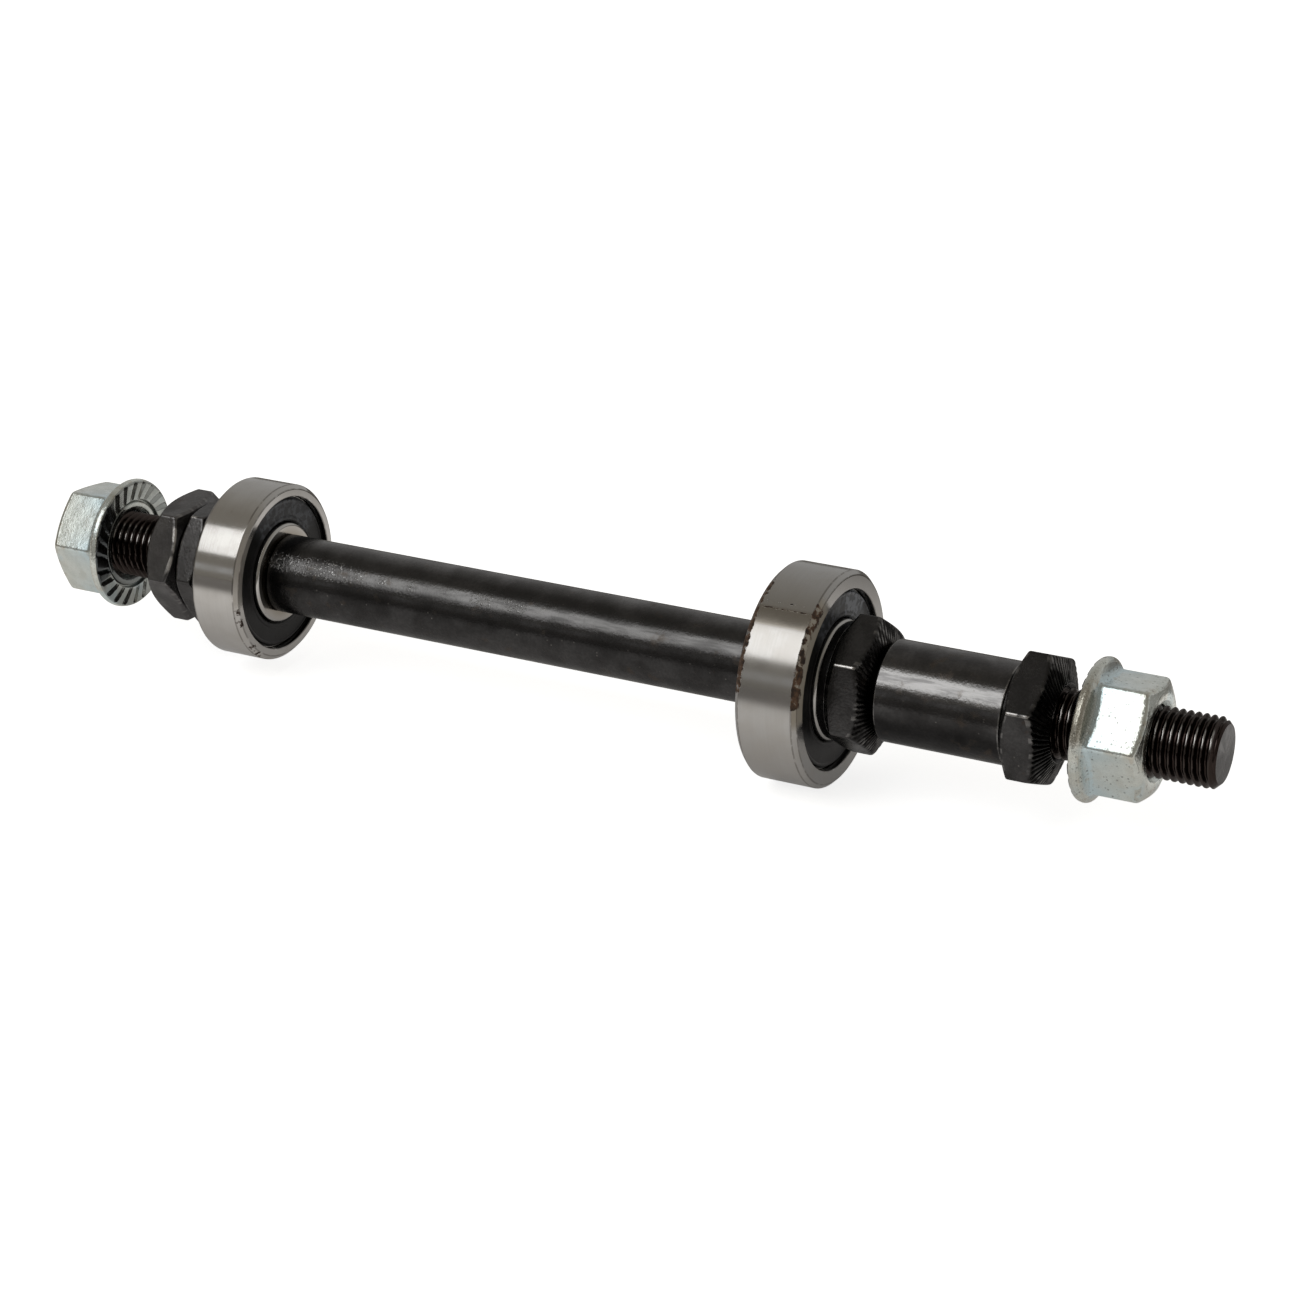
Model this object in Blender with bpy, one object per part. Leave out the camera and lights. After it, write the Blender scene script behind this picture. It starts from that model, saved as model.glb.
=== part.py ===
"""Hub axle of a bicycle with two sealed ball bearings, its locknuts, spacer and flanged axle nuts.

The axle lies along X with the middle of its length at the origin, and +Z is up.
Each piece is stacked on its neighbour from the two shoulders of the axle outwards.
"""

import math
from typing import NamedTuple

import bmesh
import bpy
from mathutils import Matrix, Vector

MM = 0.001

# Axle, a turned bar with a thick middle, two bearing seats and two threads;
# a tip is the thread that stands out of an axle nut
BODY_LENGTH = 79.2 * MM
SHOULDER_HEIGHT = 0.77 * MM
THREAD_STEP = 0.1875 * MM
LEFT_TIP = 1.2 * MM
RIGHT_TIP = 8.7 * MM
END_CHAMFER = 0.8 * MM
SHOULDER_CHAMFER = 0.3 * MM

# Clearances
FACE_GAP = 0.3 * MM
THREAD_CLEARANCE = 0.05 * MM
SEAT_CLEARANCE = 0.05 * MM
RACE_CLEARANCE = 0.15 * MM
LIP_CLEARANCE = 0.15 * MM

# Sealed ball bearings, metric sizes. The shares are parts of the space between bore
# and outer diameter: the ball's radius, and the outer ring's flat face beside the seal.
# Ball room is the space between a ball and each side face.
BEARING_BORE_RADIUS = 5.0 * MM
LEFT_BEARING_RADIUS = 13.0 * MM
LEFT_BALLS = 7
LEFT_BALL_SHARE = 0.29765625
LEFT_FACE_SHARE = 0.2125
LEFT_BALL_ROOM = 1.61875 * MM
RIGHT_BEARING_RADIUS = 15.0 * MM
RIGHT_BALLS = 8
RIGHT_BALL_SHARE = 0.238125
RIGHT_FACE_SHARE = 0.25
RIGHT_BALL_ROOM = 2.11875 * MM
RING_CHAMFER = 0.6 * MM
BORE_CHAMFER = 0.3 * MM
SHOULDER_DEPTH = 0.75 * MM
SEAL_RECESS = 0.25 * MM
SEAL_THICKNESS = 0.65 * MM
SEAL_STEP = 0.15 * MM
SEAL_RIM = 0.45 * MM
CAGE_THICKNESS = 0.35 * MM
CAGE_WIDTH = 1.6 * MM
CAGE_CLEARANCE = 0.15 * MM

# Black hexagon nuts that clamp the bearings
HEX_NUT_ACROSS = 17.0 * MM
LOCKNUT_THICKNESS = 6.0 * MM
LEFT_CONE_NUT_THICKNESS = 4.2 * MM
BOSS_LENGTH = 1.05 * MM
BOSS_INSET = 0.27 * MM
HEX_NUT_FACE_INSET = 0.6 * MM
CHAMFER_SLOPE = math.tan(math.radians(30.0))
BORE_COUNTERSINK = 0.5 * MM
KNURL_TEETH = 30
KNURL_DEPTH = 0.3 * MM
KNURL_WIDTH = 0.7 * MM
KNURL_LAND = 0.6 * MM

# Spacer tube between the right cone nut and the right locknut
SPACER_LENGTH = 18.15 * MM
SPACER_RADIUS = 7.0 * MM
SPACER_BORE_CLEARANCE = 0.25 * MM
SPACER_CHAMFER = 0.25 * MM

# Zinc plated axle nuts with a serrated flange
AXLE_NUT_ACROSS = 15.0 * MM
AXLE_NUT_HEIGHT = 9.3 * MM
AXLE_NUT_FACE_INSET = 0.5 * MM
FLANGE_OVERHANG = 2.2 * MM
FLANGE_RIM = 1.2 * MM
FLANGE_EDGE = 0.3 * MM
FLANGE_CONE = 1.4 * MM
TEETH = 24
TOOTH_DEPTH = 0.4 * MM
TOOTH_WIDTH = 1.5 * MM
TOOTH_LEAN = 0.9
TOOTH_SLANT = math.radians(24.0)
TOOTH_RUNOUT = 0.2 * MM
NUT_RECESS_DEPTH = 0.35 * MM
NUT_RECESS_LAND = 1.2 * MM
NUT_COUNTERSINK = 0.9 * MM
LEFT_NUT_GAP = 6.95 * MM
RIGHT_NUT_GAP = 3.8 * MM

# How far a corner of each hexagon is turned from the top towards -Y, in degrees
LEFT_AXLE_NUT_TURN = 23.5
LEFT_LOCKNUT_TURN = -24.1
LEFT_CONE_NUT_TURN = -28.3
RIGHT_CONE_NUT_TURN = -5.1
RIGHT_LOCKNUT_TURN = 6.8
RIGHT_AXLE_NUT_TURN = 23.7

# Facets round a turned piece
FACETS = 32
BALL_FACETS = 10
BALL_BANDS = 6
GROOVE_STEPS = 4
POCKET_STEPS = 5

# How far cutters reach past the faces they cut, and how close points merge
OVERSHOOT = 2.0 * MM
CORNER_MARGIN = 0.2 * MM
MERGE = 1e-7

# Radii that follow from the sizes above
SEAT_RADIUS = BEARING_BORE_RADIUS - SEAT_CLEARANCE
BODY_RADIUS = SEAT_RADIUS + SHOULDER_HEIGHT
THREAD_RADIUS = SEAT_RADIUS - THREAD_STEP
NUT_BORE_RADIUS = THREAD_RADIUS + THREAD_CLEARANCE
NUT_MOUTH_RADIUS = NUT_BORE_RADIUS + BORE_COUNTERSINK

FINISHES = {
    "black_oxide": ((0.035, 0.033, 0.032), 0.38, 0.85),
    "ground_steel": ((0.56, 0.54, 0.51), 0.25, 1.0),
    "seal_rubber": ((0.03, 0.03, 0.033), 0.6, 0.0),
    "cage_steel": ((0.42, 0.41, 0.40), 0.45, 1.0),
    "ball_steel": ((0.68, 0.68, 0.68), 0.08, 1.0),
    "zinc": ((0.60, 0.63, 0.60), 0.42, 0.9),
}


class Bearing(NamedTuple):
    """Main sizes of one bearing, and the ones that follow from them."""

    radius: float
    balls: int
    ball_share: float
    face_share: float
    ball_room: float

    @property
    def ball_radius(self):
        """Radius of a ball."""
        return (self.radius - BEARING_BORE_RADIUS) * self.ball_share

    @property
    def width(self):
        """Width over both side faces."""
        return 2 * (self.ball_radius + self.ball_room)

    @property
    def pitch(self):
        """Radius of the circle that the balls' centres lie on."""
        return (BEARING_BORE_RADIUS + self.radius) / 2

    @property
    def inner_shoulder(self):
        """Outer radius of the inner ring, beside its groove."""
        return self.pitch - self.ball_radius + SHOULDER_DEPTH

    @property
    def outer_shoulder(self):
        """Inner radius of the outer ring, beside its groove."""
        return self.pitch + self.ball_radius - SHOULDER_DEPTH

    @property
    def seal_edge(self):
        """Radius of the recess that holds a seal in the outer ring."""
        return self.radius - (self.radius - BEARING_BORE_RADIUS) * self.face_share


LEFT_BEARING = Bearing(
    LEFT_BEARING_RADIUS, LEFT_BALLS, LEFT_BALL_SHARE, LEFT_FACE_SHARE, LEFT_BALL_ROOM
)
RIGHT_BEARING = Bearing(
    RIGHT_BEARING_RADIUS, RIGHT_BALLS, RIGHT_BALL_SHARE, RIGHT_FACE_SHARE, RIGHT_BALL_ROOM
)


def clear_scene():
    """Remove every object of the scene."""
    for old in list(bpy.data.objects):
        bpy.data.objects.remove(old, do_unlink=True)


def finish_of(name, finish):
    """Give one piece its own material with the colour and gloss of its finish."""
    colour, roughness, metallic = FINISHES[finish]
    material = bpy.data.materials.new(f"{name}_{finish}")
    material.use_nodes = True
    shader = material.node_tree.nodes["Principled BSDF"]
    shader.inputs["Base Color"].default_value = (*colour, 1.0)
    shader.inputs["Roughness"].default_value = roughness
    shader.inputs["Metallic"].default_value = metallic
    return material


def add_object(name, mesh, finish=None, parent=None):
    """Link a mesh as one named object; without a finish it is a hidden cutter."""
    item = bpy.data.objects.new(name, mesh)
    bpy.context.scene.collection.objects.link(item)
    item.parent = parent
    if finish:
        mesh.materials.append(finish_of(name, finish))
    else:
        item.hide_render = True
        item.display_type = "WIRE"
    return item


def add_pivot(name, x):
    """Empty on the axle's axis that carries a moving group."""
    pivot = bpy.data.objects.new(name, None)
    bpy.context.scene.collection.objects.link(pivot)
    pivot.location = (x, 0.0, 0.0)
    return pivot


def mesh_from(name, build, smooth_angle=None):
    """Close a bmesh, turn its faces out and store it as a mesh."""
    bmesh.ops.remove_doubles(build, verts=build.verts, dist=MERGE)
    bmesh.ops.recalc_face_normals(build, faces=build.faces)
    mesh = bpy.data.meshes.new(name)
    build.to_mesh(mesh)
    build.free()
    if smooth_angle:
        mesh.shade_smooth()
        mesh.set_sharp_from_angle(angle=math.radians(smooth_angle))
    return mesh


def turned(name, profile, smooth_angle=35.0):
    """Spin a closed profile of (x, radius) points about the X axis."""
    build = bmesh.new()
    points = [build.verts.new((x, 0.0, radius)) for x, radius in profile]
    pairs = zip(points, points[1:] + points[:1])
    edges = [build.edges.new((a, b)) for a, b in pairs if a.co.z > 0.0 or b.co.z > 0.0]
    bmesh.ops.spin(
        build,
        geom=points + edges,
        cent=(0.0, 0.0, 0.0),
        axis=(1.0, 0.0, 0.0),
        angle=math.tau,
        steps=FACETS,
        use_merge=True,
    )
    bmesh.ops.dissolve_degenerate(build, edges=build.edges, dist=MERGE)
    return mesh_from(name, build, smooth_angle)


def hexagon_bar(name, across, start, end):
    """Six-sided bar along X from start to end, one corner at the top."""
    build = bmesh.new()
    along_x = Matrix.Rotation(math.pi / 2, 4, "X") @ Matrix.Rotation(math.pi / 2, 4, "Y")
    ring = bmesh.ops.create_circle(
        build, cap_ends=True, segments=6, radius=across / math.sqrt(3.0), matrix=along_x
    )
    bmesh.ops.translate(build, verts=ring["verts"], vec=(start, 0.0, 0.0))
    pushed = bmesh.ops.extrude_face_region(build, geom=list(build.faces))
    moved = [item for item in pushed["geom"] if isinstance(item, bmesh.types.BMVert)]
    bmesh.ops.translate(build, verts=moved, vec=(end - start, 0.0, 0.0))
    return mesh_from(name, build)


def add_wedge(build, inner, outer, depth, width, lean, angle, slant):
    """Add one V-shaped cutter, a bar of triangular section that points outwards.

    Its open side lies OVERSHOOT in front of the plane x = 0 and its root lies depth
    behind it; lean moves the root sideways, which makes a ratchet tooth.
    """
    reach = OVERSHOOT / depth
    half = width / 2 * (1.0 + reach)
    root = lean * width / 2
    corners = []
    for radius in (inner, outer):
        for side, x in ((-half, -OVERSHOOT), (half, -OVERSHOOT), (root, depth)):
            point = Vector((x, -side, radius - inner))
            point = Matrix.Rotation(slant, 3, "X") @ point + Vector((0.0, 0.0, inner))
            corners.append(build.verts.new(Matrix.Rotation(angle, 3, "X") @ point))
    near, far = corners[:3], corners[3:]
    build.faces.new(near)
    build.faces.new(far)
    for i in range(3):
        j = (i + 1) % 3
        build.faces.new((near[i], near[j], far[j], far[i]))


def wedge_ring(name, count, inner, outer, depth, width, lean=0.0, slant=0.0):
    """Ring of separate V-shaped cutters that serrates the face at x = 0."""
    build = bmesh.new()
    for i in range(count):
        add_wedge(build, inner, outer, depth, width, lean, math.tau * i / count, slant)
    return mesh_from(name, build)


def cut(item, name, mesh, operation):
    """Put a hidden cutter on a piece as a Boolean modifier."""
    cutter = add_object(f"{item.name}_{name}", mesh, parent=item)
    modifier = item.modifiers.new(name, "BOOLEAN")
    modifier.operation = operation
    modifier.object = cutter
    modifier.solver = "EXACT"


def bore_cutter(name, start, end, mouth):
    """Drill for a threaded bore, with a countersink at each end; mouth is the first one's radius."""
    radius = NUT_BORE_RADIUS
    profile = [
        (start - OVERSHOOT, 0.0),
        (start - OVERSHOOT, mouth + OVERSHOOT),
        (start + mouth - radius, radius),
        (end - BORE_COUNTERSINK, radius),
        (end + OVERSHOOT, radius + BORE_COUNTERSINK + OVERSHOOT),
        (end + OVERSHOOT, 0.0),
    ]
    return turned(name, profile)


def hexagon_nut(name, station, outwards, turn, thickness, bearing=None, knurled=True):
    """Black hexagon nut, chamfered on both sides and, if asked, knurled on its outer face.

    The outer face lies at x = 0 of its own frame and points along -X. A nut that
    clamps a bearing has a boss on the other side, which meets the inner ring only.
    """
    corner = HEX_NUT_ACROSS / math.sqrt(3.0) + CORNER_MARGIN
    face = HEX_NUT_ACROSS / 2 - HEX_NUT_FACE_INSET
    chamfer = (corner - face) * CHAMFER_SLOPE
    bar = hexagon_bar(name, HEX_NUT_ACROSS, -OVERSHOOT, thickness + OVERSHOOT)
    item = add_object(name, bar, "black_oxide")
    blank = [
        (0.0, 0.0),
        (0.0, face),
        (chamfer, corner),
        (thickness - chamfer, corner),
        (thickness, face),
        (thickness, 0.0),
    ]
    cut(item, "blank", turned(f"{name}_blank", blank), "INTERSECT")
    end = thickness
    if bearing:
        end = thickness + BOSS_LENGTH
        boss_radius = bearing.inner_shoulder - BOSS_INSET
        boss = [
            (thickness / 2, 0.0),
            (thickness / 2, boss_radius),
            (end, boss_radius),
            (end, 0.0),
        ]
        cut(item, "boss", turned(f"{name}_boss", boss), "UNION")
    cut(item, "bore", bore_cutter(f"{name}_bore", 0.0, end, NUT_MOUTH_RADIUS), "DIFFERENCE")
    if knurled:
        inner = NUT_MOUTH_RADIUS + KNURL_LAND
        knurl = wedge_ring(f"{name}_knurl", KNURL_TEETH, inner, corner, KNURL_DEPTH, KNURL_WIDTH)
        cut(item, "knurl", knurl, "DIFFERENCE")
    place(item, station, outwards, turn)
    return item


def axle_nut(name, station, outwards, turn):
    """Zinc plated hexagon nut with a serrated flange.

    Its serrated face lies at x = 0 of its own frame, and the hexagon stands along +X.
    """
    corner = AXLE_NUT_ACROSS / math.sqrt(3.0) + CORNER_MARGIN
    face = AXLE_NUT_ACROSS / 2 - AXLE_NUT_FACE_INSET
    chamfer = (corner - face) * CHAMFER_SLOPE
    rim = AXLE_NUT_ACROSS / 2 + FLANGE_OVERHANG
    mouth = NUT_BORE_RADIUS + NUT_COUNTERSINK
    recess = mouth + NUT_RECESS_LAND
    bar = hexagon_bar(name, AXLE_NUT_ACROSS, FLANGE_RIM / 2, AXLE_NUT_HEIGHT + OVERSHOOT)
    item = add_object(name, bar, "zinc")
    blank = [
        (FLANGE_EDGE, 0.0),
        (FLANGE_EDGE, corner),
        (AXLE_NUT_HEIGHT - chamfer, corner),
        (AXLE_NUT_HEIGHT, face),
        (AXLE_NUT_HEIGHT, 0.0),
    ]
    cut(item, "blank", turned(f"{name}_blank", blank), "INTERSECT")
    flange = [
        (NUT_RECESS_DEPTH, 0.0),
        (NUT_RECESS_DEPTH, recess - NUT_RECESS_DEPTH),
        (0.0, recess),
        (0.0, rim - FLANGE_EDGE),
        (FLANGE_EDGE, rim),
        (FLANGE_RIM, rim),
        (FLANGE_RIM + FLANGE_EDGE, rim - FLANGE_EDGE),
        (FLANGE_RIM + FLANGE_CONE, AXLE_NUT_ACROSS / 2 - FLANGE_EDGE),
        (FLANGE_RIM + FLANGE_CONE, 0.0),
    ]
    cut(item, "flange", turned(f"{name}_flange", flange), "UNION")
    bore = bore_cutter(f"{name}_bore", NUT_RECESS_DEPTH, AXLE_NUT_HEIGHT, mouth)
    cut(item, "bore", bore, "DIFFERENCE")
    teeth = wedge_ring(
        f"{name}_teeth",
        TEETH,
        recess - TOOTH_RUNOUT,
        rim + OVERSHOOT,
        TOOTH_DEPTH,
        TOOTH_WIDTH,
        lean=TOOTH_LEAN,
        slant=TOOTH_SLANT,
    )
    cut(item, "teeth", teeth, "DIFFERENCE")
    place(item, station, outwards, turn)
    return item


def place(item, station, outwards, turn):
    """Set a piece's own x = 0 on a station, its outer face to the left (+1) or right (-1)."""
    item.location = (station, 0.0, 0.0)
    facing = 0.0 if outwards > 0 else math.pi
    item.rotation_euler = (math.radians(turn) * outwards, 0.0, facing)


def ring_pair(side, centre, size, spin):
    """Inner and outer ring of one bearing, with the ball grooves turned into both."""
    groove = size.ball_radius + RACE_CLEARANCE
    radius = size.radius
    pitch = size.pitch
    half = size.width / 2
    low = size.inner_shoulder
    high = size.outer_shoulder
    reach = math.acos((high - pitch) / groove)
    arc = [-reach + 2 * reach * i / GROOVE_STEPS for i in range(GROOVE_STEPS + 1)]
    seal_edge = size.seal_edge
    seat = half - SEAL_RECESS - SEAL_THICKNESS - LIP_CLEARANCE
    outer = [(groove * math.sin(a), pitch + groove * math.cos(a)) for a in arc]
    outer += [(seat, high), (seat, seal_edge), (half, seal_edge), (half, radius - RING_CHAMFER)]
    outer += [(half - RING_CHAMFER, radius), (RING_CHAMFER - half, radius)]
    outer += [(-half, radius - RING_CHAMFER), (-half, seal_edge), (-seat, seal_edge), (-seat, high)]
    inner = [(groove * math.sin(a), pitch - groove * math.cos(a)) for a in arc]
    inner += [(half - BORE_CHAMFER, low), (half, low - BORE_CHAMFER)]
    inner += [(half, BEARING_BORE_RADIUS + BORE_CHAMFER), (half - BORE_CHAMFER, BEARING_BORE_RADIUS)]
    inner += [(BORE_CHAMFER - half, BEARING_BORE_RADIUS), (-half, BEARING_BORE_RADIUS + BORE_CHAMFER)]
    inner += [(-half, low - BORE_CHAMFER), (BORE_CHAMFER - half, low)]
    outer_name = f"{side}_outer_ring"
    inner_name = f"{side}_inner_ring"
    add_object(outer_name, turned(outer_name, outer), "ground_steel", spin)
    ring = add_object(inner_name, turned(inner_name, inner), "ground_steel")
    ring.location = (centre, 0.0, 0.0)


def seals(side, size, spin):
    """Two rubber seals of one bearing, each with a raised lip at the inner ring."""
    rim = size.seal_edge - LIP_CLEARANCE
    lip = size.inner_shoulder + LIP_CLEARANCE
    front = size.width / 2 - SEAL_RECESS
    back = front - SEAL_THICKNESS
    for word, facing in (("left", -1.0), ("right", 1.0)):
        profile = [
            (facing * (front - SEAL_STEP), rim),
            (facing * back, rim),
            (facing * back, lip),
            (facing * front, lip),
            (facing * front, lip + SEAL_RIM),
            (facing * (front - SEAL_STEP), lip + SEAL_RIM + SEAL_STEP),
        ]
        name = f"{side}_bearing_{word}_seal"
        add_object(name, turned(name, profile), "seal_rubber", spin)


def cage_half(name, size, facing, parent):
    """Half of a ribbon cage: a band that runs round each ball in a half pocket.

    Pocket points lie on a circle about the ball, so each pocket is a half round
    channel that points at the axle, and straight webs join one pocket to the next.
    """
    pocket = (size.ball_radius + CAGE_CLEARANCE) / math.cos(math.pi / 2 / POCKET_STEPS)
    reach = math.acos(FACE_GAP / 2 / pocket)
    build = bmesh.new()
    sections = []
    for ball in range(size.balls):
        turn = Matrix.Rotation(math.tau * ball / size.balls, 3, "X")
        for i in range(POCKET_STEPS + 1):
            angle = reach * (2 * i / POCKET_STEPS - 1)
            section = []
            for radius, skin in ((-0.5, 0.0), (0.5, 0.0), (0.5, 1.0), (-0.5, 1.0)):
                reach_out = pocket + skin * CAGE_THICKNESS
                web = FACE_GAP / 2 + skin * CAGE_THICKNESS
                x = facing * max(reach_out * math.cos(angle), web)
                point = Vector((x, -reach_out * math.sin(angle), size.pitch + radius * CAGE_WIDTH))
                section.append(build.verts.new(turn @ point))
            sections.append(section)
    for here, there in zip(sections, sections[1:] + sections[:1]):
        for i in range(4):
            j = (i + 1) % 4
            build.faces.new((here[i], here[j], there[j], there[i]))
    add_object(name, mesh_from(name, build, 20.0), "cage_steel", parent)


def bearing(side, centre, size):
    """One sealed ball bearing: two rings, two seals, a cage in two halves and its balls."""
    spin = add_pivot(f"{side}_bearing_spin", centre)
    orbit = add_pivot(f"{side}_cage_orbit", centre)
    ring_pair(side, centre, size, spin)
    seals(side, size, spin)
    for word, facing in (("left", -1.0), ("right", 1.0)):
        cage_half(f"{side}_cage_{word}_half", size, facing, orbit)
    for i in range(size.balls):
        angle = math.tau * i / size.balls
        build = bmesh.new()
        bmesh.ops.create_uvsphere(
            build, u_segments=BALL_FACETS, v_segments=BALL_BANDS, radius=size.ball_radius
        )
        name = f"{side}_ball_{i + 1}"
        ball = add_object(name, mesh_from(name, build, 60.0), "ball_steel", orbit)
        ball.location = (0.0, -size.pitch * math.sin(angle), size.pitch * math.cos(angle))


def axle(left_end, left_shoulder, right_shoulder, right_end):
    """Turned axle; the threads stand as plain bars of their full diameter."""
    left_seat = left_shoulder - FACE_GAP - LEFT_BEARING.width
    right_seat = right_shoulder + FACE_GAP + RIGHT_BEARING.width
    profile = [
        (left_end, 0.0),
        (left_end, THREAD_RADIUS - END_CHAMFER),
        (left_end + END_CHAMFER, THREAD_RADIUS),
        (left_seat, THREAD_RADIUS),
        (left_seat + THREAD_STEP, SEAT_RADIUS),
        (left_shoulder, SEAT_RADIUS),
        (left_shoulder, BODY_RADIUS - SHOULDER_CHAMFER),
        (left_shoulder + SHOULDER_CHAMFER, BODY_RADIUS),
        (right_shoulder - SHOULDER_CHAMFER, BODY_RADIUS),
        (right_shoulder, BODY_RADIUS - SHOULDER_CHAMFER),
        (right_shoulder, SEAT_RADIUS),
        (right_seat - THREAD_STEP, SEAT_RADIUS),
        (right_seat, THREAD_RADIUS),
        (right_end - END_CHAMFER, THREAD_RADIUS),
        (right_end, THREAD_RADIUS - END_CHAMFER),
        (right_end, 0.0),
    ]
    add_object("axle", turned("axle", profile), "black_oxide")


def spacer(station):
    """Spacer tube, slipped over the right thread."""
    bore = THREAD_RADIUS + SPACER_BORE_CLEARANCE
    end = SPACER_LENGTH
    profile = [
        (0.0, bore),
        (0.0, SPACER_RADIUS - SPACER_CHAMFER),
        (SPACER_CHAMFER, SPACER_RADIUS),
        (end - SPACER_CHAMFER, SPACER_RADIUS),
        (end, SPACER_RADIUS - SPACER_CHAMFER),
        (end, bore),
    ]
    tube = add_object("spacer", turned("spacer", profile), "black_oxide")
    tube.location = (station, 0.0, 0.0)


def left_stack():
    """Length from the left shoulder to the end of the left thread."""
    clamped = LEFT_BEARING.width + BOSS_LENGTH + LEFT_CONE_NUT_THICKNESS + LOCKNUT_THICKNESS
    return clamped + 3 * FACE_GAP + LEFT_NUT_GAP + AXLE_NUT_HEIGHT + LEFT_TIP


def right_stack():
    """Length from the right shoulder to the end of the right thread."""
    clamped = RIGHT_BEARING.width + BOSS_LENGTH + SPACER_LENGTH + 2 * LOCKNUT_THICKNESS
    return clamped + 4 * FACE_GAP + RIGHT_NUT_GAP + AXLE_NUT_HEIGHT + RIGHT_TIP


def build_hub_axle():
    """Stack every piece from the axle's shoulders outwards."""
    clear_scene()
    left_end = -(left_stack() + BODY_LENGTH + right_stack()) / 2
    left_shoulder = left_end + left_stack()
    right_shoulder = left_shoulder + BODY_LENGTH
    axle(left_end, left_shoulder, right_shoulder, right_shoulder + right_stack())

    x = left_shoulder - FACE_GAP - LEFT_BEARING.width
    bearing("left", x + LEFT_BEARING.width / 2, LEFT_BEARING)
    x -= FACE_GAP + BOSS_LENGTH + LEFT_CONE_NUT_THICKNESS
    hexagon_nut(
        "left_cone_nut", x, 1, LEFT_CONE_NUT_TURN, LEFT_CONE_NUT_THICKNESS, LEFT_BEARING, knurled=False
    )
    x -= FACE_GAP + LOCKNUT_THICKNESS
    hexagon_nut("left_locknut", x, 1, LEFT_LOCKNUT_TURN, LOCKNUT_THICKNESS)
    x -= LEFT_NUT_GAP
    axle_nut("left_axle_nut", x, -1, LEFT_AXLE_NUT_TURN)

    x = right_shoulder + FACE_GAP + RIGHT_BEARING.width
    bearing("right", x - RIGHT_BEARING.width / 2, RIGHT_BEARING)
    x += FACE_GAP + BOSS_LENGTH + LOCKNUT_THICKNESS
    hexagon_nut("right_cone_nut", x, -1, RIGHT_CONE_NUT_TURN, LOCKNUT_THICKNESS, RIGHT_BEARING)
    x += FACE_GAP
    spacer(x)
    x += SPACER_LENGTH + FACE_GAP + LOCKNUT_THICKNESS
    hexagon_nut("right_locknut", x, -1, RIGHT_LOCKNUT_TURN, LOCKNUT_THICKNESS)
    x += RIGHT_NUT_GAP
    axle_nut("right_axle_nut", x, 1, RIGHT_AXLE_NUT_TURN)


build_hub_axle()
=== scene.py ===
"""Looks of a bicycle's hub axle with two sealed bearings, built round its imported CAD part.

Lengths are in millimetres until a mesh is made, x runs along the axle, and th is the
angle of a point round it, from +Z towards -Y. Each surface is a closed grid: its rows
follow a profile (x, r), which may change with th, and its columns go round the axle.
"""

import math
from functools import partial

import bpy
import numpy as np
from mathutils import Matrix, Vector


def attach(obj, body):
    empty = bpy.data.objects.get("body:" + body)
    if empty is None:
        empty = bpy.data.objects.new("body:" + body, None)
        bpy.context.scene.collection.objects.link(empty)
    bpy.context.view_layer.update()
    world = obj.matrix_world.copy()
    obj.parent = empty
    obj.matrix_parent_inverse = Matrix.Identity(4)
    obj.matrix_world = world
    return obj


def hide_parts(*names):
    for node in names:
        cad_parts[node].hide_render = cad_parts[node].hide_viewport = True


MM = 0.001
TAU = 2.0 * math.pi
SLOPE_30 = math.tan(math.radians(30.0))
SHARP_ANGLE = math.radians(38.0)

# Rounded corners: rows of an arc, its largest share of a side, and where its support rows lie
ARC_STEPS = 4
CORNER_SHARE = 0.42
SUPPORT = 1.12

# Axle. A seat step is the pair of stations where the radius goes over to a bearing's seat
AXLE_END = 90.0
END_CHAMFER = 0.8
END_RADII = (1.2, 2.4, 3.7)
BODY_START = -52.4
BODY_END = 27.3
BODY_RADIUS = 5.72
BODY_CHAMFER = 0.3
BODY_ROWS = 130
SEAT_RADIUS = 4.95
LEFT_SEAT_STEP = (-60.9, -60.72)
RIGHT_SEAT_STEP = (36.1, 36.3)
THREAD_RADIUS = 4.7625
THREAD_PITCH = 1.0583
THREAD_DEPTH = 0.62
ROWS_PER_THREAD = 14
LEFT_THREAD_END = -70.5
RIGHT_THREAD_START = 61.0

# Spacer
SPACER_START = 43.75
SPACER_END = 61.9
SPACER_RADIUS = 7.0
SPACER_BORE = 5.05
SPACER_CHAMFER = 0.25

# Bearings: centre, radius, half width, seal edge, pitch radius, the balls' place from the centre
LEFT_BEARING = (-56.55, 13.0, 4.0, 11.3, 9.0, -0.15)
RIGHT_BEARING = (31.9, 15.0, 4.5, 12.5, 10.0, -0.3)
BALL_RADIUS = 2.38125
GROOVE_RADIUS = 2.53
GROOVE_ROWS = 9
SHOULDER_DEPTH = 0.75
RING_CHAMFER = 0.62
RING_BORE = 5.0
RING_COLUMNS = 360
SEAL_RECESS = 0.6
SEAL_ROOM = 0.72
SEAL_GAP = 0.15

# Nuts
HEX_ACROSS = 17.0
HEX_CORNER = 0.5
HEX_FACE_RADIUS = 7.9
BORE_RADIUS = 4.8125
COUNTERSINK = 0.5
BOSS_HEIGHT = 1.0
KNURL_DEPTH = 0.26
AXLE_NUT_ACROSS = 15.0
AXLE_NUT_CORNER = 0.8
AXLE_NUT_FACE_RADIUS = 6.4
AXLE_NUT_HEIGHT = 9.3
FLANGE_RADIUS = 9.7
TOOTH_COUNT = 24
TOOTH_LEAN = math.tan(math.radians(26.0))
TOOTH_START = 6.72
TOOTH_DEPTH = 0.36
TOOTH_LAND = 0.58

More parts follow.
